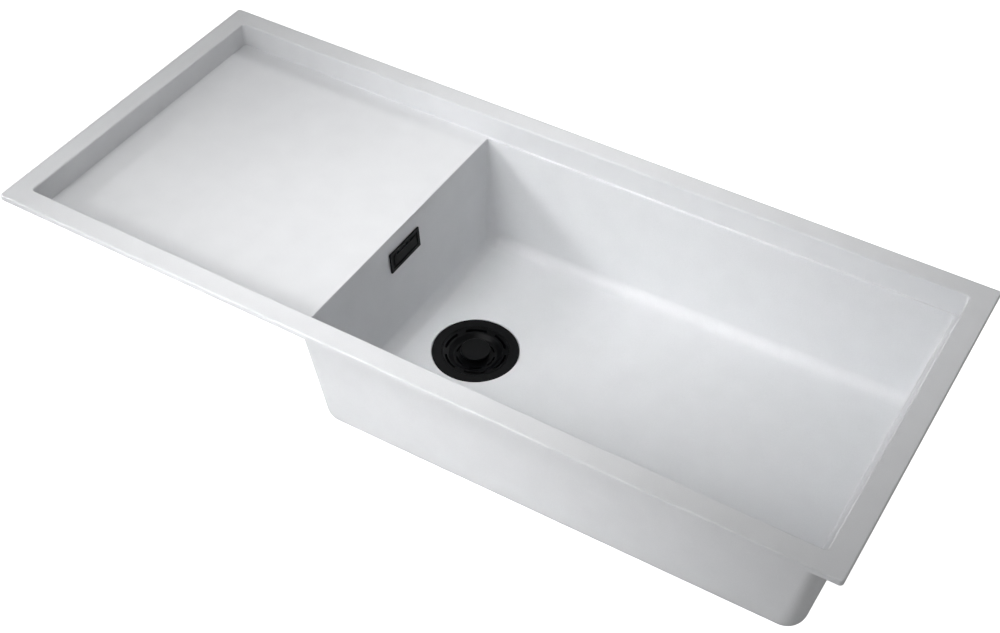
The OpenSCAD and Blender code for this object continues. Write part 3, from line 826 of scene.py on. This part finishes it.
@dataclass
class SinkShell:
    """The cast sink: rim, recess, drainer, ledges and bowl, with every edge rounded as moulded.

    The rim is its length and width, and the mouth its left, right, front and back side. The pairs
    for the mouth's corners and edges give the far end first, then the drainer's end.
    """

    rim: tuple[float, float] = (1160.0, 503.0)
    rim_thickness: float = 8.0
    rim_border: float = 30.0
    rim_corner: float = 5.0
    rim_top_edge: float = 2.0
    rim_low_edge: float = 0.6
    recess_edge: float = 2.2
    recess_corner: float = 5.0
    recess_depth: float = 35.0
    recess_crease: float = 1.0
    mouth: tuple[float, float, float, float] = (-127.0, 539.0, -207.5, 218.0)
    mouth_corners: tuple[float, float] = (6.0, 1.5)
    mouth_edges: tuple[float, float] = (2.6, 1.0)
    wall_lean: float = 12.0
    cove: float = 18.0
    bowl_depth: float = 204.5
    floor_rise: float = 12.0
    shell: float = 8.5
    end_wall: float = 11.5
    tray_edge: float = 18.0
    waste: tuple[float, float] = (-13.5, 1.5)
    seat_radius: float = 59.8
    seat_depth: float = 2.5
    seat_edge: float = 0.8
    hole_radius: float = 45.0
    funnel_radius: float = 49.0
    funnel_drop: float = 3.5
    land_thickness: float = 10.0
    land_bevel: float = 1.5
    land_overlap: float = 1.0
    slot_half: float = 16.5
    slot_radius: float = 10.0
    overflow_drop: float = 74.0
    overrun: float = 4.0
    edge_steps: int = 6
    cove_steps: int = 12
    outer_cove_steps: int = 14

    def __post_init__(self) -> None:
        """Works out the heights and the centres of the cove at the floor's corners."""
        self.top = self.rim_thickness
        self.ledge = self.top - self.recess_depth
        left, right, front, back = self.mouth
        inset = self.wall_lean + self.cove
        low = self.top - self.bowl_depth + self.cove
        high = low + self.floor_rise
        self.coves = [Vector(spot) for spot in (
            (right - inset, back - inset, high), (left + inset, back - inset, low),
            (left + inset, front + inset, low), (right - inset, front + inset, high))]
        run = self.coves[0].x - self.coves[1].x
        self.slope = math.atan(self.floor_rise / run)
        self.floor_normal = Vector((-math.sin(self.slope), 0, math.cos(self.slope)))
        far, near = self.mouth_corners
        self.mouth_outline = Outline(left, right, front, back, (far, near, near, far),
                                     corner_steps=10, side_steps=16)
        half_x = self.rim[0] / 2 - self.rim_border
        half_y = self.rim[1] / 2 - self.rim_border
        self.recess_outline = Outline(-half_x, half_x, -half_y, half_y,
                                      (self.recess_corner,) * CORNER_COUNT)
        drop = self.ledge - low
        self.wall_angle = math.atan(inset / drop) - math.asin(self.cove / math.hypot(inset, drop))
        self.seat_z = self.floor(self.waste[0] - self.seat_radius) - self.seat_depth

    def beyond(self, number: int, grow: float) -> Vector:
        """Returns how much further the bowl's outside stands out at a corner."""
        far = number in BOWL_FAR_CORNERS and grow > 0
        return Vector((self.end_wall - self.shell if far else 0.0, 0.0, 0.0))

    def floor(self, x: float) -> float:
        """Returns the height of the bowl's floor at a place along the sink."""
        cove = self.coves[1]
        return cove.z + (x - cove.x) * math.tan(self.slope) - self.cove / math.cos(self.slope)

    def tilt(self, number: int, angle: float, grow: float) -> float:
        """Works out how far the wall leans at a place round the mouth.

        Args:
            number: the corner.
            angle: the direction from the corner.
            grow: thickness added to the bowl's form.

        Returns:
            The lean from upright, in radians.
        """
        corner, cove = self.mouth_outline.corners()[number], self.coves[number]
        away = Vector((math.cos(angle), math.sin(angle)))
        reach = Vector((corner.x - cove.x, corner.y - cove.y)).dot(away) + corner.radius + grow
        drop = self.ledge - cove.z
        return math.atan(reach / drop) - math.asin((self.cove + grow) / math.hypot(reach, drop))

    def edge_radius(self, number: int) -> float:
        """Returns the rounding of the mouth's edge at a corner."""
        return self.mouth_edges[0] if number in BOWL_FAR_CORNERS else self.mouth_edges[1]

    def mouth_ring(self, share: float) -> Ring:
        """Draws a ring of the mouth's rounded edge.

        Args:
            share: 0 where the rounding meets the ledge, 1 where it meets the wall.

        Returns:
            One closed ring.
        """
        corners = self.mouth_outline.corners()

        def place(number: int, angle: float) -> Vector:
            """Finds a point of the rounding.

            Args:
                number: the corner.
                angle: the direction from the corner, in radians.

            Returns:
                The point.
            """
            corner, radius = corners[number], self.edge_radius(number)
            sweep = RIGHT_ANGLE - self.tilt(number, angle, 0)
            turn = sweep * share
            reach = corner.radius + radius * math.tan(sweep / 2) - radius * math.sin(turn)
            return corner.point(reach, angle, self.ledge - radius + radius * math.cos(turn))

        return self.mouth_outline.trace(place)

    def cove_ring(self, share: float, grow: float) -> Ring:
        """Draws a ring of the cove.

        Args:
            share: 0 where the cove meets the wall, 1 where it meets the floor.
            grow: thickness added to the bowl's form.

        Returns:
            One closed ring.
        """
        down = -self.floor_normal

        def place(number: int, angle: float) -> Vector:
            """Finds a point of the cove.

            Args:
                number: the corner.
                angle: the direction from the corner, in radians.

            Returns:
                The point.
            """
            lean = self.tilt(number, angle, grow)
            away = Vector((math.cos(angle) * math.cos(lean), math.sin(angle) * math.cos(lean),
                           -math.sin(lean)))
            sweep = away.angle(down)
            spoke = (away * math.sin((1 - share) * sweep)
                     + down * math.sin(share * sweep)) / math.sin(sweep)
            return self.coves[number] + spoke * (self.cove + grow) + self.beyond(number, grow)

        return self.mouth_outline.trace(place)

    def cavity(self) -> bpy.types.Object:
        """Draws everything that is hollow from above: recess, bowl, waste seat and hole.

        Returns:
            The closed form of the hollow.
        """
        draft = Draft()
        edge, crease = self.recess_edge, self.recess_crease
        outline = self.recess_outline
        rings = [outline.level(self.top + self.overrun, edge)]
        rings += [outline.level(self.top - edge + edge * math.cos(a), edge - edge * math.sin(a))
                  for a in arc(8)]
        rings += [outline.level(self.ledge + crease - crease * math.sin(a),
                                -crease + crease * math.cos(a)) for a in arc(5)]
        upper = draft.stack(rings)
        draft.fill(upper[0])
        walls = [self.mouth_ring(share) for share in shares(self.edge_steps)]
        walls += [self.cove_ring(share, 0) for share in shares(self.cove_steps)]
        lower = draft.stack(walls)
        draft.fill(upper[-1], lower[0])
        waste = draft.stack(self.waste_rings())
        draft.fill(lower[-1], waste[0])
        draft.fill(waste[-1])
        return draft.build("cavity")

    def waste_rings(self) -> list[Ring]:
        """Draws the waste's seat, its funnel and the hole through the floor.

        Returns:
            The rings, from the bowl's floor down.
        """
        x, y = self.waste
        edge = self.seat_edge
        rings = [circle(x, y, self.seat_radius + edge - edge * math.sin(a),
                        lambda px, py, a=a: self.floor(px) - edge + edge * math.cos(a))
                 for a in arc(4)]
        low = self.seat_z - self.land_thickness - self.overrun
        for radius, height in ((self.seat_radius, self.seat_z), (self.funnel_radius, self.seat_z),
                               (self.hole_radius, self.seat_z - self.funnel_drop),
                               (self.hole_radius, low)):
            rings.append(circle(x, y, radius, lambda px, py, h=height: h))
        return rings

    def rim_plate(self) -> bpy.types.Object:
        """Draws the rim's plate with its rounded edges.

        Returns:
            The plate.
        """
        half_x, half_y = self.rim[0] / 2, self.rim[1] / 2
        outline = Outline(-half_x, half_x, -half_y, half_y, (self.rim_corner,) * CORNER_COUNT)
        low, high = self.rim_low_edge, self.rim_top_edge
        rings = [outline.level(low - low * math.cos(a), -low + low * math.sin(a)) for a in arc(3)]
        rings += [outline.level(self.top - high + high * math.sin(a), -high + high * math.cos(a))
                  for a in arc(8)]
        return Draft().close("sink_shell", rings)

    def tray(self) -> bpy.types.Object:
        """Draws the outside of the tray below the rim.

        Returns:
            The tray's outer form, filled.
        """
        box = self.recess_outline
        grow, edge = self.shell, self.tray_edge
        radius = max(self.recess_corner + grow, edge)
        outline = Outline(box.left - grow, box.right + grow, box.front - grow, box.back + grow,
                          (radius,) * CORNER_COUNT, corner_steps=12)
        bottom = self.ledge - self.shell
        rings = [outline.level(self.top / 2)]
        rings += [outline.level(bottom + edge - edge * math.sin(a), -edge + edge * math.cos(a))
                  for a in arc(12)]
        return Draft().close("tray", rings)

    def bowl(self) -> bpy.types.Object:
        """Draws the outside of the bowl.

        Returns:
            The bowl's outer form, filled.
        """
        corners = self.mouth_outline.corners()
        grow = self.shell

        def place(number: int, angle: float) -> Vector:
            """Returns the point of the upper edge at an angle."""
            edge = corners[number].point(corners[number].radius + grow, angle, self.ledge)
            return edge + self.beyond(number, grow)

        rings = [self.mouth_outline.trace(place)]
        rings += [self.cove_ring(share, grow) for share in shares(self.outer_cove_steps)]
        return Draft().close("bowl", rings)

    def land(self) -> bpy.types.Object:
        """Draws the flat land below the waste's seat.

        Returns:
            The land, as a disc.
        """
        low, high = self.seat_z - self.land_thickness, self.seat_z + self.land_overlap
        radius, bevel = self.seat_radius, self.land_bevel
        profile = [(0.0, low), (radius - bevel, low), (radius, low + bevel), (radius, high),
                   (0.0, high)]
        return revolve("land", profile, *self.waste, 0.0)

    def overflow_slot(self) -> bpy.types.Object:
        """Draws the slot for the overflow through the wall below the drainer.

        Returns:
            The slot, as a solid.
        """
        z = self.top - self.overflow_drop
        wall = self.mouth[0] + (self.ledge - z) * math.tan(self.wall_angle)
        centre = Vector((wall, self.waste[1], z))
        lean = Matrix.Rotation(-self.wall_angle, 3, "Y")
        reach = self.shell + self.overrun
        outline = []
        for side in (1, -1):
            outline += [(side * (self.slot_half + self.slot_radius * math.sin(a)),
                         side * self.slot_radius * math.cos(a)) for a in arc(24, math.pi)]
        return Draft().close("slot", [[lean @ Vector((x, y, up)) + centre for y, up in outline]
                                      for x in (-reach, self.overrun)])

    def build(self, palette: Palette) -> bpy.types.Object:
        """Builds, dresses and seats the shell.

        Args:
            palette: the object's finishes.

        Returns:
            The shell.
        """
        shell = self.rim_plate()
        for part in (self.tray, self.bowl, self.land):
            combine(shell, part(), Cut.ADD)
        for hollow in (self.cavity, self.overflow_slot):
            combine(shell, hollow(), Cut.REMOVE)
        tidy(shell.data)
        smooth(shell)
        dress(shell, palette, "composite")
        seat(shell, "sink", "sink_body")
        return shell


# The waste


@dataclass
class BasketWaste:
    """The black flange in the bowl's floor and the strainer basket that lifts out of it.

    Heights and drops count from the flange's top. The dish's slope and floor are each a radius and
    a drop, and its roundings go from the floor to the rim. A slot is the radius of its centre
    line, its width and its span in degrees. The socket below the knob is a radius and a depth.
    """

    shell: SinkShell
    flange_radius: float = 58.8
    flange_edge: float = 2.0
    gasket: float = 1.0
    edge_round: float = 0.9
    hole_clearance: float = 0.6
    cup_wall: float = 1.6
    cup_depth: float = 38.0
    cup_floor: float = 3.0
    opening_radius: float = 24.0
    window_inset: float = 0.8
    spoke: float = 4.0
    spokes: int = 4
    hub_radius: float = 12.0
    hub_length: float = 10.0
    head_radius: float = 9.6
    head_depth: float = 5.2
    shank_radius: float = 6.3
    funnel_round: float = 2.0
    step_round: float = 0.2
    mouth_round: float = 0.35
    lip_round: float = 1.0
    cup_round: float = 1.5
    head_round: float = 0.3
    hub_round: float = 0.5
    mouth_radius: float = 45.7
    mouth_drop: float = 2.3
    funnel_radius: float = 49.0
    funnel_drop: float = 3.5
    dish_radius: float = 45.2
    dish_rim_drop: float = 0.8
    dish_slope: tuple[float, float] = (36.0, 3.4)
    dish_floor: tuple[float, float] = (30.0, 8.5)
    dish_thickness: float = 1.2
    dish_rounds: tuple[float, float, float] = (4.0, 3.0, 0.5)
    dish_back_round: float = 0.3
    slots: int = 6
    outer_slot: tuple[float, float, float] = (40.2, 3.4, 38.0)
    inner_slot: tuple[float, float, float] = (25.5, 2.6, 36.0)
    stem_hole: float = 4.65
    knob_radius: float = 20.2
    knob_head: float = 5.0
    knob_rise: float = 2.7
    knob_neck: float = 11.0
    knob_edge: float = 1.4
    neck_round: float = 1.2
    socket: tuple[float, float] = (4.5, 6.0)
    cutter_overrun: float = 1.0

    def __post_init__(self) -> None:
        """Works out where the flange lies."""
        self.x, self.y = self.shell.waste
        self.z = self.shell.seat_z + self.gasket + self.flange_edge
        self.centre = Vector((self.x, self.y, self.z))

    def flange(self) -> bpy.types.Object:
        """Builds the flange with its funnel, cup, hub and spokes.

        Returns:
            The flange.
        """
        outer = self.shell.hole_radius - self.hole_clearance
        inner = outer - self.cup_wall
        pitch = (self.dish_slope[1] - self.dish_rim_drop) / (self.dish_radius - self.dish_slope[0])
        cup, low = -self.cup_depth, -self.cup_depth - self.cup_floor
        head, hub = cup - self.head_depth, cup - self.hub_length
        corners = [
            (outer, -self.flange_edge - self.funnel_drop, self.funnel_round),
            (self.funnel_radius, -self.flange_edge, self.funnel_round),
            (self.flange_radius, -self.flange_edge, self.step_round),
            (self.flange_radius, 0.0, self.edge_round),
            (self.mouth_radius, -self.dish_rim_drop, self.mouth_round),
            (self.mouth_radius, -self.mouth_drop, self.step_round),
            (inner, -self.mouth_drop - (self.mouth_radius - inner) * pitch, self.lip_round),
            (inner, cup, self.cup_round), (self.head_radius, cup, self.head_round),
            (self.head_radius, head, 0.0), (self.shank_radius, head, 0.0),
            (self.shank_radius, hub, 0.0), (self.hub_radius, hub, self.hub_round),
            (self.hub_radius, low, self.hub_round), (outer, low, self.cup_round),
        ]
        piece = revolve("waste_flange_moulding", round_profile(corners, 5), self.x, self.y, self.z)
        width = self.opening_radius - self.hub_radius - self.window_inset
        middle = (self.opening_radius + self.hub_radius) / 2
        span = FULL_TURN / self.spokes - (self.spoke + width) / middle
        window = curved_slot(middle, width, span, low - self.cutter_overrun,
                             cup + self.cutter_overrun)
        combine(piece, ring_of_copies("windows", window, self.spokes, math.pi / self.spokes,
                                      self.centre), Cut.REMOVE)
        smooth(piece)
        return piece

    def dish(self) -> bpy.types.Object:
        """Builds the strainer's dish with its two rings of slots.

        Returns:
            The dish.
        """
        thick = self.dish_thickness
        floor_round, slope_round, rim_round = self.dish_rounds
        top = [(self.stem_hole, -self.dish_floor[1], 0.0),
               (self.dish_floor[0], -self.dish_floor[1], floor_round),
               (self.dish_slope[0], -self.dish_slope[1], slope_round),
               (self.dish_radius, -self.dish_rim_drop, rim_round)]
        back = [(r, z - thick, self.dish_back_round if r == self.dish_radius else rounding)
                for r, z, rounding in reversed(top)]
        piece = revolve("strainer_dish", round_profile(top + back, 6), self.x, self.y, self.z)
        low = -self.dish_floor[1] - 3 * thick
        for label, (radius, width, span) in (("outer", self.outer_slot),
                                             ("inner", self.inner_slot)):
            slot = curved_slot(radius, width, math.radians(span), low, 2 * thick)
            cutters = ring_of_copies(f"{label}_slots", slot, self.slots, 0.0, self.centre)
            combine(piece, cutters, Cut.REMOVE)
        smooth(piece)
        return piece

    def knob(self) -> bpy.types.Object:
        """Builds the knob, flat on top with a rounded edge.

        Returns:
            The knob.
        """
        floor = -self.dish_floor[1]
        under = self.knob_rise - self.knob_head
        edge = self.knob_edge
        radius, depth = self.socket
        corners = [(0.0, self.knob_rise, 0.0), (self.knob_radius, self.knob_rise, edge),
                   (self.knob_radius, under, edge), (self.knob_neck, under, self.neck_round),
                   (self.knob_neck, floor, 0.0), (radius, floor, 0.0),
                   (radius, floor + depth, 0.0), (0.0, floor + depth, 0.0)]
        piece = revolve("strainer_knob", round_profile(corners, 6), self.x, self.y, self.z)
        smooth(piece)
        return piece

    def build(self, palette: Palette) -> None:
        """Builds, dresses and seats the visible pieces of the waste.

        Args:
            palette: the object's finishes.
        """
        for piece, body, node in ((self.flange(), "sink", "waste_flange"),
                                  (self.dish(), "strainer", "basket_dish"),
                                  (self.knob(), "strainer", "basket_knob")):
            dress(piece, palette, "black_plastic")
            seat(piece, body, node)


# Hidden fittings


class Rounding(Enum):
    """How far the edges of a moulded fitting are rounded, in millimetres."""

    FINE = 0.25
    MOULDED = 0.6


@dataclass
class Fittings:
    """The pieces below the sink and behind the covers, as the model has them."""

    rounded: dict[str, Rounding] = field(default_factory=lambda: {
        "overflow_frame": Rounding.FINE, "overflow_plate": Rounding.FINE,
        "overflow_elbow": Rounding.MOULDED, "waste_body": Rounding.MOULDED,
        "hose_top_nut": Rounding.MOULDED, "hose_bottom_nut": Rounding.MOULDED,
    })

    def rounded_copy(self, node: str, rounding: Rounding) -> bpy.types.Object:
        """Copies a node's shape and rounds its edges as the mould does.

        Args:
            node: the model's node.
            rounding: how far its edges are rounded.

        Returns:
            The copy.
        """
        source = frame["nodes"][node]
        piece = add_object(f"{node}_moulding", source.data.copy())
        work = bmesh.new()
        work.from_mesh(piece.data)
        bmesh.ops.remove_doubles(work, verts=work.verts, dist=MERGE_DISTANCE)
        bmesh.ops.dissolve_limit(work, angle_limit=FLAT_LIMIT, verts=work.verts,
                                 edges=work.edges)
        work.to_mesh(piece.data)
        work.free()
        low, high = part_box(node)
        soften(piece, rounding.value)
        hold_in(piece, low, high)
        smooth(piece)
        return piece

    def build(self, palette: Palette) -> None:
        """Dresses every node that is still shown, and rounds those that are moulded.

        Args:
            palette: the object's finishes.
        """
        body_of = {node: body for body, nodes in frame["record"]["behaviour"]["bodies"].items()
                   for node in nodes}
        slots = {part["node"]: part["material_slot"] for part in frame["record"]["subparts"]}
        for node, slot in sorted(slots.items()):
            if frame["nodes"][node].hide_render:
                continue
            if node in self.rounded:
                piece = self.rounded_copy(node, self.rounded[node])
                dress(piece, palette, slot)
                seat(piece, body_of[node], node)
                continue
            piece = frame["nodes"][node]
            piece.data.materials.clear()
            piece.data.materials.append(palette.material(slot))
            log.info("%s: dressed in %s", node, slot)


# The overflow's hose


@dataclass
class RibbedHose:
    """The hose from the overflow to the waste: straight down, one bend, then level."""

    radius: float = 11.5
    rib_height: float = 1.5
    rib_pitch: float = 4.0
    wall: float = 1.2
    bend_radius: float = 38.0
    collar_radius: float = 12.2
    collar_height: float = 1.6
    sides: int = 40
    steps_per_rib: int = 8
    rib_band: float = 0.7

    def route(self) -> tuple[Ring, float]:
        """Works out the hose's centre line from the model's own hose.

        Returns:
            The points of the centre line, and its length.
        """
        low, high = (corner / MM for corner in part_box("overflow_hose"))
        y = (low.y + high.y) / 2
        x = low.x + self.collar_radius
        z = low.z + self.collar_radius
        bend = self.bend_radius
        points = [Vector((x, y, high.z))]
        points += [Vector((x + bend * (1 - math.cos(a)), y, z + bend * (1 - math.sin(a))))
                   for a in arc(32)]
        points.append(Vector((high.x, y, z)))
        length = sum((b - a).length for a, b in zip(points, points[1:]))
        return points, length

    def tree(self) -> bpy.types.NodeTree:
        """Builds the node tree that turns a centre line into a ribbed skin.

        Returns:
            The tree.
        """
        tree, given = start_tree("ribbed hose", {
            "Length": "Float", "Root Radius": "Float", "Rib Height": "Float", "Collar": "Float",
            "Collar Radius": "Float", "Ribs": "Int", "Samples": "Int", "Sides": "Int"})
        line = add_node(tree, "GeometryNodeResampleCurve", Curve=given["Geometry"],
                        Count=given["Samples"])
        along = add_node(tree, "GeometryNodeSplineParameter").outputs["Factor"]
        phase = add_node(tree, "ShaderNodeMath", {"operation": "MULTIPLY"}, i0=along,
                         i1=given["Ribs"])
        turn = add_node(tree, "ShaderNodeMath", {"operation": "MULTIPLY"}, i0=phase.outputs[0],
                        i1=FULL_TURN)
        wave = add_node(tree, "ShaderNodeMath", {"operation": "COSINE"}, i0=turn.outputs[0])
        steep = add_node(tree, "ShaderNodeMapRange", {"interpolation_type": "SMOOTHSTEP"},
                         i0=wave.outputs[0], i1=self.rib_band, i2=-self.rib_band, i3=0.0,
                         i4=given["Rib Height"])
        ribbed = add_node(tree, "ShaderNodeMath", {"operation": "ADD"}, i0=steep.outputs[0],
                          i1=given["Root Radius"])
        far = add_node(tree, "ShaderNodeMath", {"operation": "SUBTRACT"}, i0=1.0, i1=along)
        nearest = add_node(tree, "ShaderNodeMath", {"operation": "MINIMUM"}, i0=along,
                           i1=far.outputs[0])
        distance = add_node(tree, "ShaderNodeMath", {"operation": "MULTIPLY"},
                            i0=nearest.outputs[0], i1=given["Length"])
        collared = add_node(tree, "ShaderNodeMath", {"operation": "LESS_THAN"},
                            i0=distance.outputs[0], i1=given["Collar"])
        radius = add_node(tree, "ShaderNodeMix", {"data_type": "FLOAT"}, Factor=collared.outputs[0],
                          i2=ribbed.outputs[0], i3=given["Collar Radius"])
        profile = add_node(tree, "GeometryNodeCurvePrimitiveCircle", Resolution=given["Sides"],
                           Radius=1.0)
        skin = add_node(tree, "GeometryNodeCurveToMesh", Curve=line.outputs[0],
                        Profile_Curve=profile.outputs[0], Scale=radius.outputs[0])
        end_tree(tree, skin.outputs[0])
        return tree

    def build(self, palette: Palette) -> None:
        """Builds, dresses and seats the hose.

        Args:
            palette: the object's finishes.
        """
        points, length = self.route()
        curve = bpy.data.curves.new("overflow_hose_line", "CURVE")
        curve.dimensions = "3D"
        line = curve.splines.new("POLY")
        line.points.add(len(points) - 1)
        for knot, point in zip(line.points, points):
            knot.co = (*(point * MM), 1.0)
        path = add_object("overflow_hose_line", curve)
        ribs = round((length - 2 * self.collar_height) / self.rib_pitch)
        use_tree(path, self.tree(), {
            "Length": length * MM, "Root Radius": (self.radius - self.rib_height) * MM,
            "Rib Height": self.rib_height * MM, "Collar": self.collar_height * MM,
            "Collar Radius": self.collar_radius * MM, "Ribs": ribs,
            "Samples": ribs * self.steps_per_rib + 1, "Sides": self.sides})
        mesh = settled_mesh(path)
        bpy.data.objects.remove(path)
        hose = add_object("ribbed_hose", mesh)
        tidy(mesh)
        skin = hose.modifiers.new("wall", "SOLIDIFY")
        skin.thickness = self.wall * MM
        skin.offset = -1
        bake_modifiers(hose)
        smooth(hose, RIB_LIMIT)
        dress(hose, palette, "grey_plastic")
        seat(hose, "sink", "overflow_hose")
        log.info("hose length %.1f mm, %d ribs", length, ribs)


# Floor, lights and camera


@dataclass(frozen=True)
class Lamp:
    """One soft square light, hung round the place that it lights: metres, degrees and watts."""

    name: str
    aim: tuple[float, float, float]
    azimuth: float
    elevation: float
    distance: float
    size: float
    power: float
    spread: float = 180.0

    def hang(self) -> None:
        """Hangs the light and turns it to its aim."""
        data = bpy.data.lights.new(self.name, "AREA")
        data.shape = "SQUARE"
        data.size = self.size
        data.energy = self.power
        data.spread = math.radians(self.spread)
        light = add_object(self.name, data)
        light.visible_camera = False
        turn, rise = math.radians(self.azimuth), math.radians(self.elevation)
        away = Vector((math.cos(turn) * math.cos(rise), math.sin(turn) * math.cos(rise),
                       math.sin(rise)))
        light.location = Vector(self.aim) + away * self.distance
        light.rotation_euler = (-away).to_track_quat("-Z", "Y").to_euler()


@dataclass
class Studio:
    """The pale floor, the lights and the camera of the photograph."""

    azimuth: float = -31.647
    elevation: float = 44.527
    eye_mm: tuple[float, float, float] = (756.4, -1247.2, 1311.0)
    focal_px: float = 1564.9
    image_width: int = 1000
    sensor: float = 36.0
    principal_x: float = 475.7
    floor_size: float = 12.0
    floor_gap: float = 0.002
    ambient: float = 0.31
    lamps: tuple[Lamp, ...] = (
        Lamp("window, left", aim=(0.04, -0.05, -0.02), azimuth=226.0, elevation=28.0,
             distance=2.6, size=0.8, power=0.98, spread=18.0),
        Lamp("window, middle", aim=(0.04, -0.05, -0.02), azimuth=242.0, elevation=48.0,
             distance=2.6, size=0.8, power=0.6, spread=18.0),
        Lamp("window, top", aim=(-0.18, -0.05, -0.02), azimuth=256.0, elevation=60.0,
             distance=2.6, size=0.8, power=0.74, spread=18.0),
        Lamp("low panel", aim=(-0.15, -0.2, -0.08), azimuth=250.0, elevation=18.0,
             distance=1.2, size=0.5, power=3.0),
        Lamp("back", aim=(0.0, 0.0, 0.0), azimuth=100.0, elevation=45.0,
             distance=2.4, size=0.7, power=10.5),
    )

    def camera(self) -> None:
        """Sets the camera where the photograph was taken."""
        data = bpy.data.cameras.new("camera")
        data.sensor_width = self.sensor
        data.lens = self.focal_px * self.sensor / self.image_width
        data.shift_x = 0.5 - self.principal_x / self.image_width
        data.clip_end = 100.0
        eye = add_object("camera", data)
        eye.location = Vector(self.eye_mm) * MM
        eye.rotation_euler = (RIGHT_ANGLE - math.radians(self.elevation), 0.0,
                              -math.radians(self.azimuth))
        bpy.context.scene.camera = eye

    def seen_directly(self, tree: bpy.types.NodeTree) -> bpy.types.NodeSocket:
        """Returns a socket that is 1 for rays from the camera, else 0."""
        return add_node(tree, "ShaderNodeLightPath").outputs["Is Camera Ray"]

    def floor(self) -> None:
        """Lays the pale floor below the object, where it keeps the object's shadow."""
        low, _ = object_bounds()
        half = self.floor_size / 2
        height = low.z - self.floor_gap
        mesh = bpy.data.meshes.new("floor")
        mesh.from_pydata([(-half, -half, height), (half, -half, height), (half, half, height),
                          (-half, half, height)], [], [(0, 1, 2, 3)])
        floor = add_object("floor", mesh)
        material = bpy.data.materials.new("pale paper")
        material.use_nodes = True
        tree = material.node_tree
        tree.nodes.clear()
        paper = add_node(tree, "ShaderNodeBsdfDiffuse", Color=linear("#E8E8E8"))
        glow = add_node(tree, "ShaderNodeEmission", Color=WHITE,
                        Strength=self.seen_directly(tree))
        both = add_node(tree, "ShaderNodeAddShader", i0=paper.outputs[0], i1=glow.outputs[0])
        add_node(tree, "ShaderNodeOutputMaterial", Surface=both.outputs[0])
        mesh.materials.append(material)
        floor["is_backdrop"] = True

    def world(self) -> None:
        """Sets an even white surround that lights the object softly."""
        world = bpy.data.worlds.new("surround")
        bpy.context.scene.world = world
        world.use_nodes = True
        tree = world.node_tree
        tree.nodes.clear()
        level = add_node(tree, "ShaderNodeMapRange", i0=self.seen_directly(tree), i1=0.0, i2=1.0,
                         i3=self.ambient, i4=1.0)
        glow = add_node(tree, "ShaderNodeBackground", Color=WHITE, Strength=level.outputs[0])
        add_node(tree, "ShaderNodeOutputWorld", Surface=glow.outputs[0])

    def build(self) -> None:
        """Sets up the whole studio."""
        self.camera()
        self.floor()
        self.world()
        for lamp in self.lamps:
            lamp.hang()
        bpy.context.scene.view_settings.view_transform = "Standard"


def main() -> None:
    """Builds the sink's pieces in order."""
    logging.basicConfig(level=logging.INFO, format="%(name)s: %(message)s")
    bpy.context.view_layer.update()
    shell = SinkShell()
    palette = Palette((shell.waste[0] * MM, shell.waste[1] * MM))
    Studio().build()
    shell.build(palette)
    BasketWaste(shell).build(palette)
    RibbedHose().build(palette)
    Fittings().build(palette)


if __name__ == "__main__":
    main()
